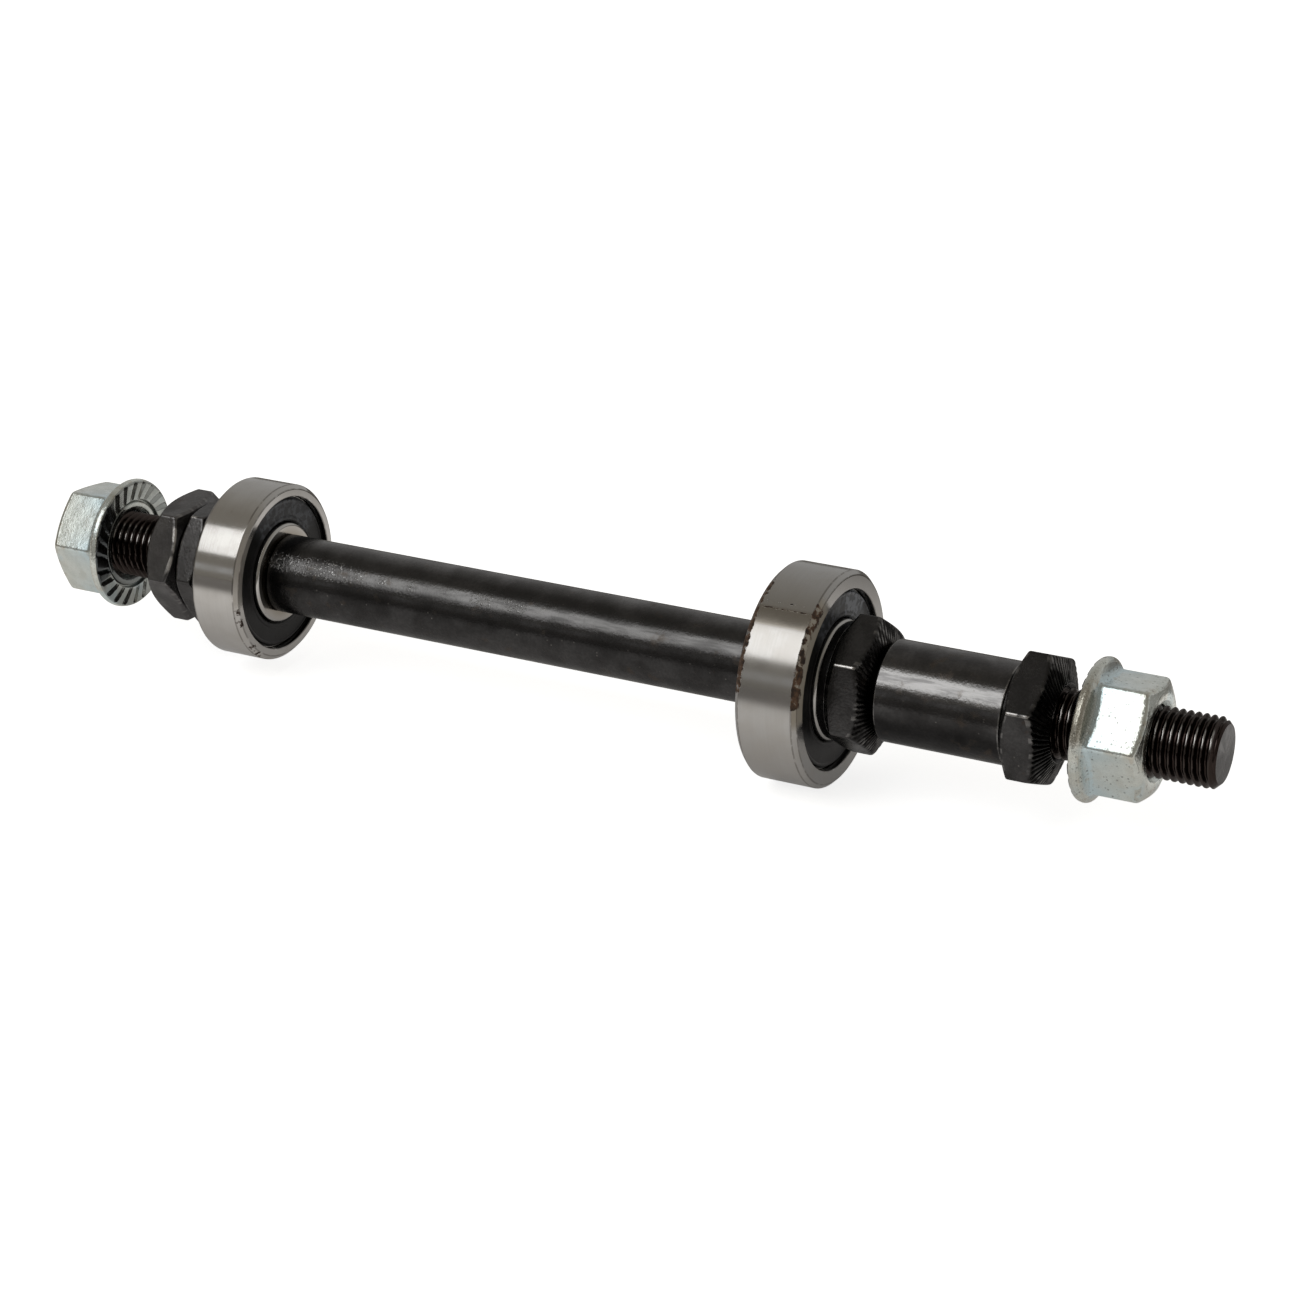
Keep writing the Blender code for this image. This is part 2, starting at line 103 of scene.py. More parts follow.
# Outer ends of the black nuts: where the chamfer starts, as radius and depth, and its slope
PLAIN_END = (HEX_FACE_RADIUS, 0.0, SLOPE_30)
DOMED_END = (7.7, 0.65, 0.84)
CONE_END = (5.45, 0.0, 0.40)

# Rust of the outer rings: how far it reaches in from the rim, then its patches on the right
# chamfer, on the left one, and in scratches, each as strength, two angles and softness
RUST = {
    "left": (1.3, ((0.62, 97, 110, 4), (0.62, 131, 146, 4), (0.4, -24, -4, 6)), (), ()),
    "right": (
        2.3,
        ((0.70, 29, 84, 4), (0.16, 29, 42, 6), (0.22, 67, 84, 5)),
        ((0.88, 22, 80, 8), (0.45, -30, 15, 8)),
        ((0.78, 34.6, 35.4, 1.0), (0.5, 30.5, 31.5, 1.0)),
    ),
}

# Small groups of pits along the painted highlight strip, painted bright as glints: middle and half
# length in x
PITS_AND_GLINTS = ((-37.1, 0.4), (-33.3, 0.4), (-28.4, 0.4), (-16.9, 1.2), (-11.4, 1.2))

# Painted light and shade round the axle's body and round the spacer: levels by the angle in degrees
TUBE_PAINTED_LIGHT = {
    "angles": (-60, 0, 6, 12, 18, 24, 70, 84, 96, 110, 132, 144, 240),
    "levels": (2.4, 2.8, 2.4, 2.0, 1.6, 1.15, 1.25, 0.65, 0.8, 1.2, 1.3, 0.8, 1.0),
}
SPACER_PAINTED_LIGHT = {
    "angles": (-60, 0, 6, 14, 30, 72, 90, 104, 114, 130, 144, 240),
    "levels": (2.6, 3.2, 2.4, 1.8, 1.6, 1.8, 0.95, 0.5, 0.5, 0.85, 0.1, 1.0),
}

# Colours of blackened steel, and of the painted highlights and glints on it
BLACK_DARK = (0.72, 0.70, 0.70)
BLACK_PALE = (1.22, 1.20, 1.21)
BLACK_DEEP = (0.4, 0.4, 0.4)
HIGHLIGHT_WHITE = (1.0, 0.99, 0.985)
GLINT_BRIGHT = (0.32, 0.32, 0.32)
KNURL_DARK = (0.012, 0.011, 0.011)
TUBE_BROWN = (0.092, 0.071, 0.054)
NUT_BROWN = (0.070, 0.048, 0.034)
BLACK_SPECK = (0.20, 0.19, 0.18)
BARE_EDGE_AND_GLINT = (0.46, 0.45, 0.44)
CREST_DARK = (0.055, 0.046, 0.042)
CREST_GLINT = (0.36, 0.35, 0.34)
THREAD_ROOT = (0.036, 0.027, 0.024)

# Colours of zinc plating, and of the painted shade on its toothed face
ZINC_DARK = (0.62, 0.655, 0.615)
ZINC_PALE = (0.71, 0.742, 0.705)
ZINC_GRAIN = (0.42, 0.43, 0.40)
ZINC_BLUE = (0.50, 0.66, 0.74)
ZINC_STAIN = (0.42, 0.36, 0.27)
ZINC_DIRT = (0.20, 0.19, 0.16)
ZINC_FACE_SHADE = (0.05, 0.057, 0.065)
ZINC_SPECK = (0.10, 0.095, 0.09)

# Colours of bearing steel with its painted shade, its rust, and the seals
WARM_STEEL = (1.0, 0.985, 0.957)
STEEL_CLOUD = (0.34, 0.31, 0.27)
STEEL_STAIN_AND_SHADE = (0.22, 0.19, 0.145)
STEEL_SPECK = (0.10, 0.075, 0.055)
STEEL_DULL = (0.34, 0.31, 0.26)
STEEL_EDGE_SHADE = (0.09, 0.08, 0.07)
RUST_PALE = (0.11, 0.06, 0.032)
RUST_DEEP = (0.022, 0.014, 0.010)
RUBBER_DARK = (0.004, 0.004, 0.004)
RUBBER_PALE = (0.009, 0.009, 0.010)
RUBBER_DUST = (0.21, 0.23, 0.262)
CAGE_GREY = (0.42, 0.41, 0.40)
BALL_GREY = (0.68, 0.68, 0.68)

# Camera
CAMERA_PLACE = (198.6, -370.0, 168.0)
CAMERA_LOOKS = (-0.42546, 0.82313, -0.37607)
CAMERA_LENS = 89.88

# Lights: angle, distance, middle in x, size round the axle, size along x, radiance
KEY_LIGHT = (41.0, 800.0, -277.0, 525.0, 655.0, 2.15)
STRIP_LIGHT = (78.0, 800.0, -250.0, 105.0, 900.0, 0.5)

# The room by the angle of a direction round the axle, in degrees: its grey and its warmth
ROOM_LEVELS = (
    (-180, 0.40, 0.2),
    (-120, 0.58, 0.2),
    (-75, 0.54, 0.2),
    (-41, 0.44, 0.4),
    (-17, 0.35, 0.8),
    (0, 0.29, 1.0),
    (15, 0.28, 1.0),
    (60, 0.26, 1.0),
    (90, 0.28, 1.0),
    (110, 0.30, 0.6),
    (180, 0.35, 0.4),
)

# Floor: its height and half size, its grey, and the light that it gives off for the camera
# and for reflections beside the axle
FLOOR_Z = -15.0
FLOOR_HALF = 3000.0
FLOOR_GREY = 0.86
FLOOR_GLOW = 0.76
FLOOR_GLOSS_GLOW = 0.42


def rounded(pairs, radii, th):
    """Grids of x and r of a closed profile with soft corners, made of whole rows.

    A pair is a corner (x, r) of the profile, and each of the two may vary with th. Each
    corner B between A and C gets the Bezier arc (1-s)^2 P + 2s(1-s) B + s^2 Q, with P
    and Q at the distance radii[i] from B towards A and C, and a supporting row next to
    each of them. A corner of radius 0 stays one row. The third result is 1 on the rows
    of an arc and 0 on the others.
    """
    points = [np.stack([np.broadcast_to(part, th.shape)[0] for part in pair], 1) for pair in pairs]
    points = np.stack(points).astype(float)
    before = np.roll(points, 1, axis=0) - points
    after = np.roll(points, -1, axis=0) - points
    long_before = np.linalg.norm(before, axis=2, keepdims=True)
    long_after = np.linalg.norm(after, axis=2, keepdims=True)
    reach = np.asarray(radii, float)[:, None, None]
    reach = np.minimum(reach, CORNER_SHARE * np.minimum(long_before, long_after))
    near = before / long_before * reach
    far = after / long_after * reach
    rows, edge = [], []
    for corner, radius, back, on in zip(points, radii, near, far):
        if radius == 0:
            rows.append(corner)
            edge.append(0.0)
            continue
        rows.append(corner + back * SUPPORT)
        for s in np.linspace(0.0, 1.0, ARC_STEPS + 1):
            rows.append(corner + (1 - s) ** 2 * back + s**2 * on)
        rows.append(corner + on * SUPPORT)
        edge += [0.0] + [1.0] * (ARC_STEPS + 1) + [0.0]
    rows = np.stack(rows)
    return rows[:, :, 0], rows[:, :, 1], np.array(edge)[:, None]


def unit(value):
    """The value held between 0 and 1."""
    return np.clip(value, 0.0, 1.0)


def both_halves(rows, radii):
    """Profile rows and corner radii of a right half, followed by their mirror image in x."""
    return rows + [(-x, r) for x, r in reversed(rows)], radii + radii[::-1]


def uneven(th, base, seed):
    """Smooth irregular curve from -1 to 1 that closes after a turn: a sum of four sines of th."""
    rng = np.random.default_rng(seed)
    total = np.zeros_like(th, dtype=float)
    weight = 0.0
    for octave in range(4):
        amplitude = 0.7**octave
        frequency = round((1.7**octave) * (1.0 + 0.3 * rng.random()) * base)
        total += amplitude * np.sin(frequency * th + TAU * rng.random())
        weight += amplitude
    return total / weight


def add_mesh(name, points, faces, attributes):
    """Mesh object from points in millimetres, faces of three or four corners, and point values."""
    mesh = bpy.data.meshes.new(name)
    counts = np.concatenate([np.full(len(block), block.shape[1]) for block in faces])
    index = np.concatenate([block.reshape(-1) for block in faces]).astype(np.int32)
    starts = np.concatenate([[0], np.cumsum(counts)[:-1]]).astype(np.int32)
    mesh.vertices.add(len(points))
    mesh.vertices.foreach_set("co", (points * MM).astype(np.float32).reshape(-1))
    mesh.loops.add(len(index))
    mesh.loops.foreach_set("vertex_index", index)
    mesh.polygons.add(len(counts))
    mesh.polygons.foreach_set("loop_start", starts)
    mesh.polygons.foreach_set("use_smooth", np.ones(len(counts), bool))
    mesh.update(calc_edges=True)
    for key, values in attributes.items():
        layer = mesh.attributes.new(key, "FLOAT", "POINT")
        layer.data.foreach_set("value", values.astype(np.float32).reshape(-1))
    mesh.set_sharp_from_angle(angle=SHARP_ANGLE)
    item = bpy.data.objects.new(name, mesh)
    bpy.context.scene.collection.objects.link(item)
    return item


def grid_points(x, r, th):
    """Stations of a grid, its points (x, -r sin th, r cos th) as one list, and their indices."""
    x, r, th = np.broadcast_arrays(x, r, th)
    points = np.stack([x, -r * np.sin(th), r * np.cos(th)], axis=2).reshape(-1, 3)
    return x, points, np.arange(x.size).reshape(x.shape)


def ring(name, x, r, th, attributes):
    """Closed ring surface: rows and columns of the grid both wrap round.

    The faces point outwards: if the signed volume sum(a . (b x c)) / 6 over the grid's
    triangles is negative, the corners are reversed.
    """
    x, points, index = grid_points(x, r, th)
    next_row = np.roll(index, -1, axis=0)
    next_column = np.roll(index, -1, axis=1)
    both = np.roll(next_row, -1, axis=1)
    quads = np.stack([index, next_row, both, next_column], axis=2).reshape(-1, 4)
    a, b, c, d = (points[quads[:, i]] for i in range(4))
    volume = np.sum(a * np.cross(b, c)) + np.sum(a * np.cross(c, d))
    if volume < 0:
        quads = quads[:, ::-1]
    values = {key: np.broadcast_to(value, index.shape) for key, value in attributes.items()}
    return add_mesh(name, points, [quads], values)


def bar(name, x, r, th, attributes):
    """Closed bar: columns of the grid wrap round, and each end of the profile has a pole."""
    x, points, index = grid_points(x, r, th)
    poles = np.array([[x[0].mean(), 0.0, 0.0], [x[-1].mean(), 0.0, 0.0]])
    near, far = index[:-1], index[1:]
    quads = np.stack([near, np.roll(near, -1, 1), np.roll(far, -1, 1), far], axis=2).reshape(-1, 4)
    start, end = index[0], index[-1]
    first = np.full(len(start), len(points))
    cap_a = np.stack([first, np.roll(start, -1), start], axis=1)
    cap_b = np.stack([first + 1, end, np.roll(end, -1)], axis=1)
    caps = np.concatenate([cap_a, cap_b])
    points = np.concatenate([points, poles])
    a, b, c = (points[cap_a[:, i]] for i in range(3))
    if np.sum(np.cross(b - a, c - a)[:, 0]) > 0:
        quads, caps = quads[:, ::-1], caps[:, ::-1]
    values = {}
    for key, value in attributes.items():
        full = np.broadcast_to(value, index.shape)
        values[key] = np.concatenate([full.reshape(-1), [full[0].mean(), full[-1].mean()]])
    return add_mesh(name, points, [quads, caps], values)


def circle(columns):
    """Angles of that many even columns, as one row."""
    return np.arange(columns)[None, :] * TAU / columns


def from_corner(th, turn):
    """Angle from the nearest corner of a hexagon that is turned by so many degrees."""
    return np.abs((th - math.radians(turn) + TAU / 12) % (TAU / 6) - TAU / 12)


def hex_columns(turn, count):
    """Even columns, with more of them at the six corners of a turned hexagon."""
    even = circle(count)[0]
    fine = np.radians([-2.0, -1.4, -1.05, -0.8, -0.55, -0.3, 0.0, 0.3, 0.55, 0.8, 1.05, 1.4, 2.0])
    corners = math.radians(turn) + np.arange(6)[:, None] * TAU / 6 + fine[None, :]
    kept = even[from_corner(even, turn) > math.radians(2.2)]
    return np.sort(np.concatenate([kept, corners.reshape(-1) % TAU]))[None, :]


def hex_radius(th, turn, across, corner):
    """Radius of a hexagon's outline with rounded corners, in polar form.

    With the apothem a, the corner arc's radius p and the angle s from the nearest corner:
    r = a / cos(30 - s) on the flats, and r = d cos s + sqrt(p^2 - d^2 sin^2 s) on the
    arc, where d = (a - p) / cos 30 is the arc's centre.
    """
    a = across / 2
    s = from_corner(th, turn)
    limit = TAU / 12 - math.atan((a - corner) * SLOPE_30 / a)
    d = (a - corner) / math.cos(TAU / 12)
    flat = a / np.cos(TAU / 12 - s)
    arc = d * np.cos(s) + np.sqrt(np.maximum(corner**2 - (d * np.sin(s)) ** 2, 0.0))
    return np.where(s > limit, flat, arc)


def knurl_depth(r, th, count, seed):
    """Depth from 0 to 1 of a knurl: slightly slanted, sharp furrows of uneven spacing and depth."""
    phase = (th + 0.35 * np.log(r / 7.0)) * count + 0.8 * uneven(th, 7, seed)
    furrow = 1.0 - np.abs(np.sin(phase / 2.0)) ** 0.7
    return furrow * (0.7 + 0.3 * uneven(th, 13, seed + 1))


def black_nut(
    name, station, outwards, turn, thickness, boss_radius, end_form, knurl, wear_and_glint, rim, seed
):
    """Hexagon nut whose outer face lies at the station and looks along -x (outwards = 1) or +x.

    Profile of a column: bore, countersink, face, chamfer, flat, 30 degree chamfer,
    inner face, and the boss if there is one. A chamfer's length is
    (r_hex(th) - r_face) times its slope, so it makes the usual arcs on the six flats. A
    conical end starts at the bore, so its whole face is a flat cone. The knurl has that
    many furrows and moves the face and the chamfer along x; its face is darkened, and its
    ridges are worn bright, less so from 24 to 122 degrees as painted shade. The corner at the
    angle given after the knurl is painted bright as a highlight, and rim gives the angles
    between which the inner chamfer's edge is painted bright as a highlight.
    """
    th = hex_columns(turn, 780 if knurl else 480)
    outline = hex_radius(th, turn, HEX_ACROSS, HEX_CORNER)
    chamfer = (outline - HEX_FACE_RADIUS) * SLOPE_30
    mouth = BORE_RADIUS + COUNTERSINK
    face, depth, slope = end_form
    is_cone = end_form is CONE_END
    pairs = [(COUNTERSINK, BORE_RADIUS), (0.0, mouth)]
    corner = [0.1, 0.12]
    for share in () if is_cone else np.linspace(0.1, 0.9, 8):
        pairs.append((depth * share, mouth + (face - mouth) * share))
        corner.append(0.0)
    pairs.append((depth, face))
    corner.append(0.0 if is_cone else 0.15)
    for share in np.linspace(0.06, 0.7, 11) if knurl else ():
        pairs.append((depth + slope * (outline - face) * share, face + (outline - face) * share))
        corner.append(0.0)
    pairs += [(depth + slope * (outline - face), outline)]
    pairs += [(thickness - chamfer, outline), (thickness, HEX_FACE_RADIUS)]
    corner += [0.7 if is_cone else 0.2, 0.4 if rim else 0.28, 0.2]
    end = thickness
    if boss_radius:
        end = thickness + BOSS_HEIGHT
        pairs += [(thickness, boss_radius), (end, boss_radius)]
        corner += [0.1, 0.15]
    pairs += [(end, mouth), (end - COUNTERSINK, BORE_RADIUS)]
    corner += [0.1, 0.1]
    x, r, edge = rounded(pairs, corner, th)
    on_inner_half = x > 0.5 * thickness
    # Random worn edges, to which painted highlights are added below
    edge_wear_and_glints = 0.22 * edge * unit(uneven(th, 23, seed + 2) * 2.2)
    # Painted highlight along the inner chamfer's edge between the rim angles
    if rim:
        inner = unit((r - outline + 0.4) / 0.2) * on_inner_half * edge
        edge_wear_and_glints = np.maximum(edge_wear_and_glints, inner * around(th, *rim, 5))
    # Painted highlight on the one corner at the given angle
    if wear_and_glint:
        on_flat = unit((r - outline + 0.25) / 0.2)
        edge_wear_and_glints = np.maximum(edge_wear_and_glints, on_flat * around(th, wear_and_glint - 0.7, wear_and_glint + 0.7, 0.7))
    knurl_darkening = np.zeros_like(x)
    if knurl:
        window = unit((r - mouth) / 0.3) * unit((outline - r) / 0.35)
        window = window * (x < 0.5 * thickness)
        furrows = knurl_depth(r, th, knurl, seed)
        x = x + KNURL_DEPTH * window * furrows
        # Knurl ridges worn bright, less so from 24 to 122 degrees as painted shade
        ridge_wear_and_shade = 0.6 - 0.42 * around(th, 24, 122, 16)
        ridges = ridge_wear_and_shade * window * unit(1.0 - furrows / 0.2)
        edge_wear_and_glints = np.maximum(edge_wear_and_glints, ridges)
        # The whole knurled face made darker
        knurl_darkening = unit(1.6 * window)
    values = {"edge": edge_wear_and_glints, "knurl_darkening": knurl_darkening}
    item = ring(f"{name}_surface", station + outwards * x, r, th, values)
    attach(item, "root")
    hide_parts(name)
    return item


def flange_nut(name, station, outwards, turn, body):
    """Flanged hexagon nut; its serrated face lies at the station and looks along -x or +x.

    Profile: bore, countersink, ring round the bore, gap, serrated face, rim, cone,
    hexagon, chamfer and outer face. Each of the 24 teeth is a slanted saw wave
    u = frac(24 (th - lean ln(r / 8)) / 2 pi): a land, a slope down, and a steep side.
    """
    th = hex_columns(turn, 620)
    outline = hex_radius(th, turn, AXLE_NUT_ACROSS, AXLE_NUT_CORNER)
    chamfer = (outline - AXLE_NUT_FACE_RADIUS) * 0.40
    height = AXLE_NUT_HEIGHT
    pairs = [(1.35, BORE_RADIUS), (0.6, 5.35), (0.25, 5.6), (0.25, 6.3), (0.7, 6.4), (0.7, 6.62)]
    pairs += [(0.04, TOOTH_START)]
    corner = [0.1, 0.1, 0.12, 0.15, 0.05, 0.05, 0.05]
    for radius in np.linspace(6.9, 9.2, 12):
        pairs.append((0.0, radius))
        corner.append(0.0)
    pairs += [(0.02, 9.32), (0.3, 9.58), (0.86, FLANGE_RADIUS), (1.2, 9.6), (1.45, 9.3)]
    corner += [0.18, 0.22, 0.25, 0.2, 0.2]
    reach = np.maximum(9.0 - outline, 0.1)
    pairs += [(1.5 + 0.35 * reach, outline + 0.5), (1.9 + 0.45 * reach, outline)]
    pairs += [(height - chamfer, outline), (height, AXLE_NUT_FACE_RADIUS)]
    corner += [0.5, 0.5, 0.5, 0.4]
    pairs += [(height, 5.5), (height - 0.7, BORE_RADIUS)]
    corner += [0.25, 0.1]
    x, r, edge = rounded(pairs, corner, th)
    lean = outwards * TOOTH_LEAN * np.log(r / 8.0)
    tooth = -outwards * (th - lean) * TOOTH_COUNT / TAU + 0.12 * uneven(th, 5, 3)
    tooth = tooth % 1.0
    shape = unit(np.minimum((tooth - TOOTH_LAND) / 0.32, (1.0 - tooth) / 0.1))
    window = unit((r - TOOTH_START) / 0.25) * unit((9.5 - r) / 0.35)
    fillet = around_value(x, 1.5, 2.6, 0.5) * (r < 8.9)
    near_corner = unit(1.0 - from_corner(th, turn) / math.radians(3.5))
    corners = near_corner * (x > 2.0) * (r > 6.8)
    is_right = outwards > 0
    flange = (x > (0.1 if is_right else 0.9)) * unit((r - outline - 0.1) / 0.4)
    flange = flange * ((x > 0.9) | (r > 9.4))
    stain = flange * (0.3 + 0.7 * is_right * around(th, 38, 76, 10))
    # Painted shade on the toothed face, most from 42 to 108 degrees, and on the ring round the bore
    dark_face = 0.5 + 0.5 * around(th, 42, 108, 12)
    dark_ring = 0.8 - 0.5 * around(th, -60, 10, 20)
    shade = (x < 0.8) * (r < 9.5) * np.where(r < 6.4, dark_ring, dark_face)
    x = x + TOOTH_DEPTH * shape * window * (x < 0.3)
    edge = np.maximum(edge, corners)
    values = {"edge": edge, "fillet": fillet, "face": shade, "stain": stain}
    item = ring(f"{name}_surface", station + outwards * x, r, th, values)
    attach(item, body)
    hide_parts(name)
    return item


def around_value(value, low, high, soft):
    """Window over a length: 1 between low and high, easing to 0 over the soft margin."""
    away = np.abs(value - (low + high) / 2) - (high - low) / 2
    return unit(1.0 - away / soft)


def around(th, low, high, soft):
    """Window over th: 1 between two angles in degrees, easing to 0 over the soft margin."""
    middle = math.radians((low + high) / 2)
    half = math.radians((high - low) / 2)
    away = np.abs((th - middle + math.pi) % TAU - math.pi) - half
    share = unit(1.0 - away / math.radians(soft))
    return share * share * (3.0 - 2.0 * share)


def patches(th, places):
    """Sum of windows over th, each times its strength."""
    windows = (strength * around(th, *angles) for strength, *angles in places)
    return sum(windows, np.zeros_like(th))


def rust_amount(side, x, r, th, half, radius):
    """Where an outer ring may rust: on stretches of its two rims, and in scratches across it."""
    reach, *places = RUST[side]
    on_right, on_left, scratches = (patches(th, part) for part in places)
    near_rim = unit((r - (radius - reach)) / 0.25)
    right_rim = unit((x - (half - 0.95)) / 0.3) * near_rim
    left_rim = unit((-x - (half - 1.15)) / 0.3) * near_rim
    return np.maximum(right_rim * on_right + left_rim * on_left, (r > radius - 0.1) * scratches)


def bearing(side, size):
    """Rings and seals of one bearing, all turned round the axle.

    A ball groove follows x = balls + g sin t and r = pitch + g cos t, or minus on the
    inner ring. The rest of a ring's profile is its right half and the mirror image.
    """
    centre, radius, half, seal_edge, pitch, balls = size
    th = circle(RING_COLUMNS)
    shoulder_out = pitch + BALL_RADIUS - SHOULDER_DEPTH
    shoulder_in = pitch - BALL_RADIUS + SHOULDER_DEPTH
    end = math.acos((shoulder_out - pitch) / GROOVE_RADIUS)
    groove = [
        (balls + GROOVE_RADIUS * math.sin(t), GROOVE_RADIUS * math.cos(t))
        for t in np.linspace(-end, end, GROOVE_ROWS)
    ]
    seat = half - SEAL_RECESS - SEAL_ROOM
    pairs = [(seat, shoulder_out), (seat, seal_edge), (half, seal_edge)]
    pairs += [(half, radius - RING_CHAMFER), (half - RING_CHAMFER, radius)]
    pairs += [(half - 0.95, radius), (half - 1.3, radius)]
    pairs, corner = both_halves(pairs, [0.05, 0.1, 0.15, 0.12, 0.12, 0.0, 0.0])
    pairs = [(x, pitch + up) for x, up in groove] + pairs
    x, r, edge = rounded(pairs, [0.0] * GROOVE_ROWS + corner, th)
    dull = around(th, 28, 92, 8) if side == "right" else 0.4 * around(th, 50, 92, 8)
    dull = dull * (x > half - 0.55) * (r > seal_edge - 0.01)
    values = {
        "rust": rust_amount(side, x, r, th, half, radius),
        "stain": around(th, 35, 44, 2) * (dull == 0) * (side == "right"),
        # Painted shade along the outer ring's edges, left off from 40 to 56 degrees where the key
        # light reflects
        "edge": edge * (1.0 - 0.85 * around(th, 40, 56, 6)),
        "dull": dull,
    }
    outer = ring(f"{side}_outer_ring_surface", centre + x, r, th, values)
    pairs = [(half - 0.3, shoulder_in), (half, shoulder_in - 0.3)]
    pairs += [(half, RING_BORE + 0.35), (half - 0.35, RING_BORE)]
    pairs, corner = both_halves(pairs, [0.15, 0.15, 0.1, 0.1])
    pairs = [(x, pitch - up) for x, up in groove] + pairs
    x, r, edge = rounded(pairs, [0.0] * GROOVE_ROWS + corner, th)
    # Painted shade on the inner ring's faces, darker towards the bore
    stain = (np.abs(x) > half - 0.02) * np.clip((7.2 - r) / 0.6, 0.0, 1.5)
    values = {"rust": 0.0 * r, "stain": stain, "edge": 0.0 * r, "dull": 0.0 * r}
    inner = ring(f"{side}_inner_ring_surface", centre + x, r, th, values)
    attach(outer, f"{side}_outer")
    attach(inner, "root")
    for item in (outer, inner):
        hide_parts(item.name.removesuffix("_surface"))
    lip = shoulder_in + SEAL_GAP
    rim = seal_edge - SEAL_GAP
    outside = half - SEAL_RECESS
    pairs = [(outside - 0.65, lip), (outside - 0.65, rim), (outside - 0.5, rim)]
    pairs += [(outside - 0.45, rim - 0.28), (outside, rim - 0.38), (outside, rim - 0.66)]
    pairs += [(outside - 0.09, rim - 0.8), (outside - 0.09, lip + 0.8), (outside, lip + 0.65)]
    pairs += [(outside, lip + 0.3), (outside - 0.25, lip)]
    corner = [0.05, 0.05, 0.05, 0.05, 0.1, 0.08, 0.08, 0.08, 0.08, 0.1, 0.1]
    x, r, _ = rounded(pairs, corner, th)
    seals = []
    for facing, word in ((1, "right"), (-1, "left")):
        name = f"{side}_bearing_{word}_seal"
        bloom = 0.42 * around(th, -50, 28, 16)
        if name == "right_bearing_right_seal":
            bloom = around(th, -42, -14, 4) + bloom
        seal = ring(f"{name}_surface", centre + facing * x, r, th, {"dust": bloom})
        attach(seal, f"{side}_outer")
        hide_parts(name)
        seals.append(seal)
    return outer, inner, seals


def thread_radius(x, th, start, end):
    """Radius of a 60 degree thread, cut between the stations start and end.

    s is the distance from the nearest crest in pitches, on the helix x / p - th / 2 pi.
    The groove's depth is clip((|s| - 1/16) / (1/2 - 1/16 - 1/12), 0, 1), eased to
    nothing over the last pitch before the plain part.
    """
    s = (x / THREAD_PITCH - th / TAU + 0.5) % 1.0 - 0.5
    groove = unit((np.abs(s) - 1 / 16) / (0.5 - 1 / 16 - 1 / 12))
    run_out = unit(np.minimum(x - start, end - x) / THREAD_PITCH)
    return THREAD_RADIUS - THREAD_DEPTH * groove * run_out


def highlight_strip(x, th, low, high, soft):
    """Painted highlight: a strip over th, painted bright where the key light reflects, whose rims
    wander with x.
    """
    sway = 2.0 * np.sin(x * 0.11 + 1.0) + 1.2 * np.sin(x * 0.31)
    return around(th - np.radians(sway), low, high, soft)


def painted_light(th, given):
    """Painted light and shade round a tube: levels at given angles, joined by straight lines."""
    return np.interp(np.degrees(th), given["angles"], given["levels"], period=360.0)


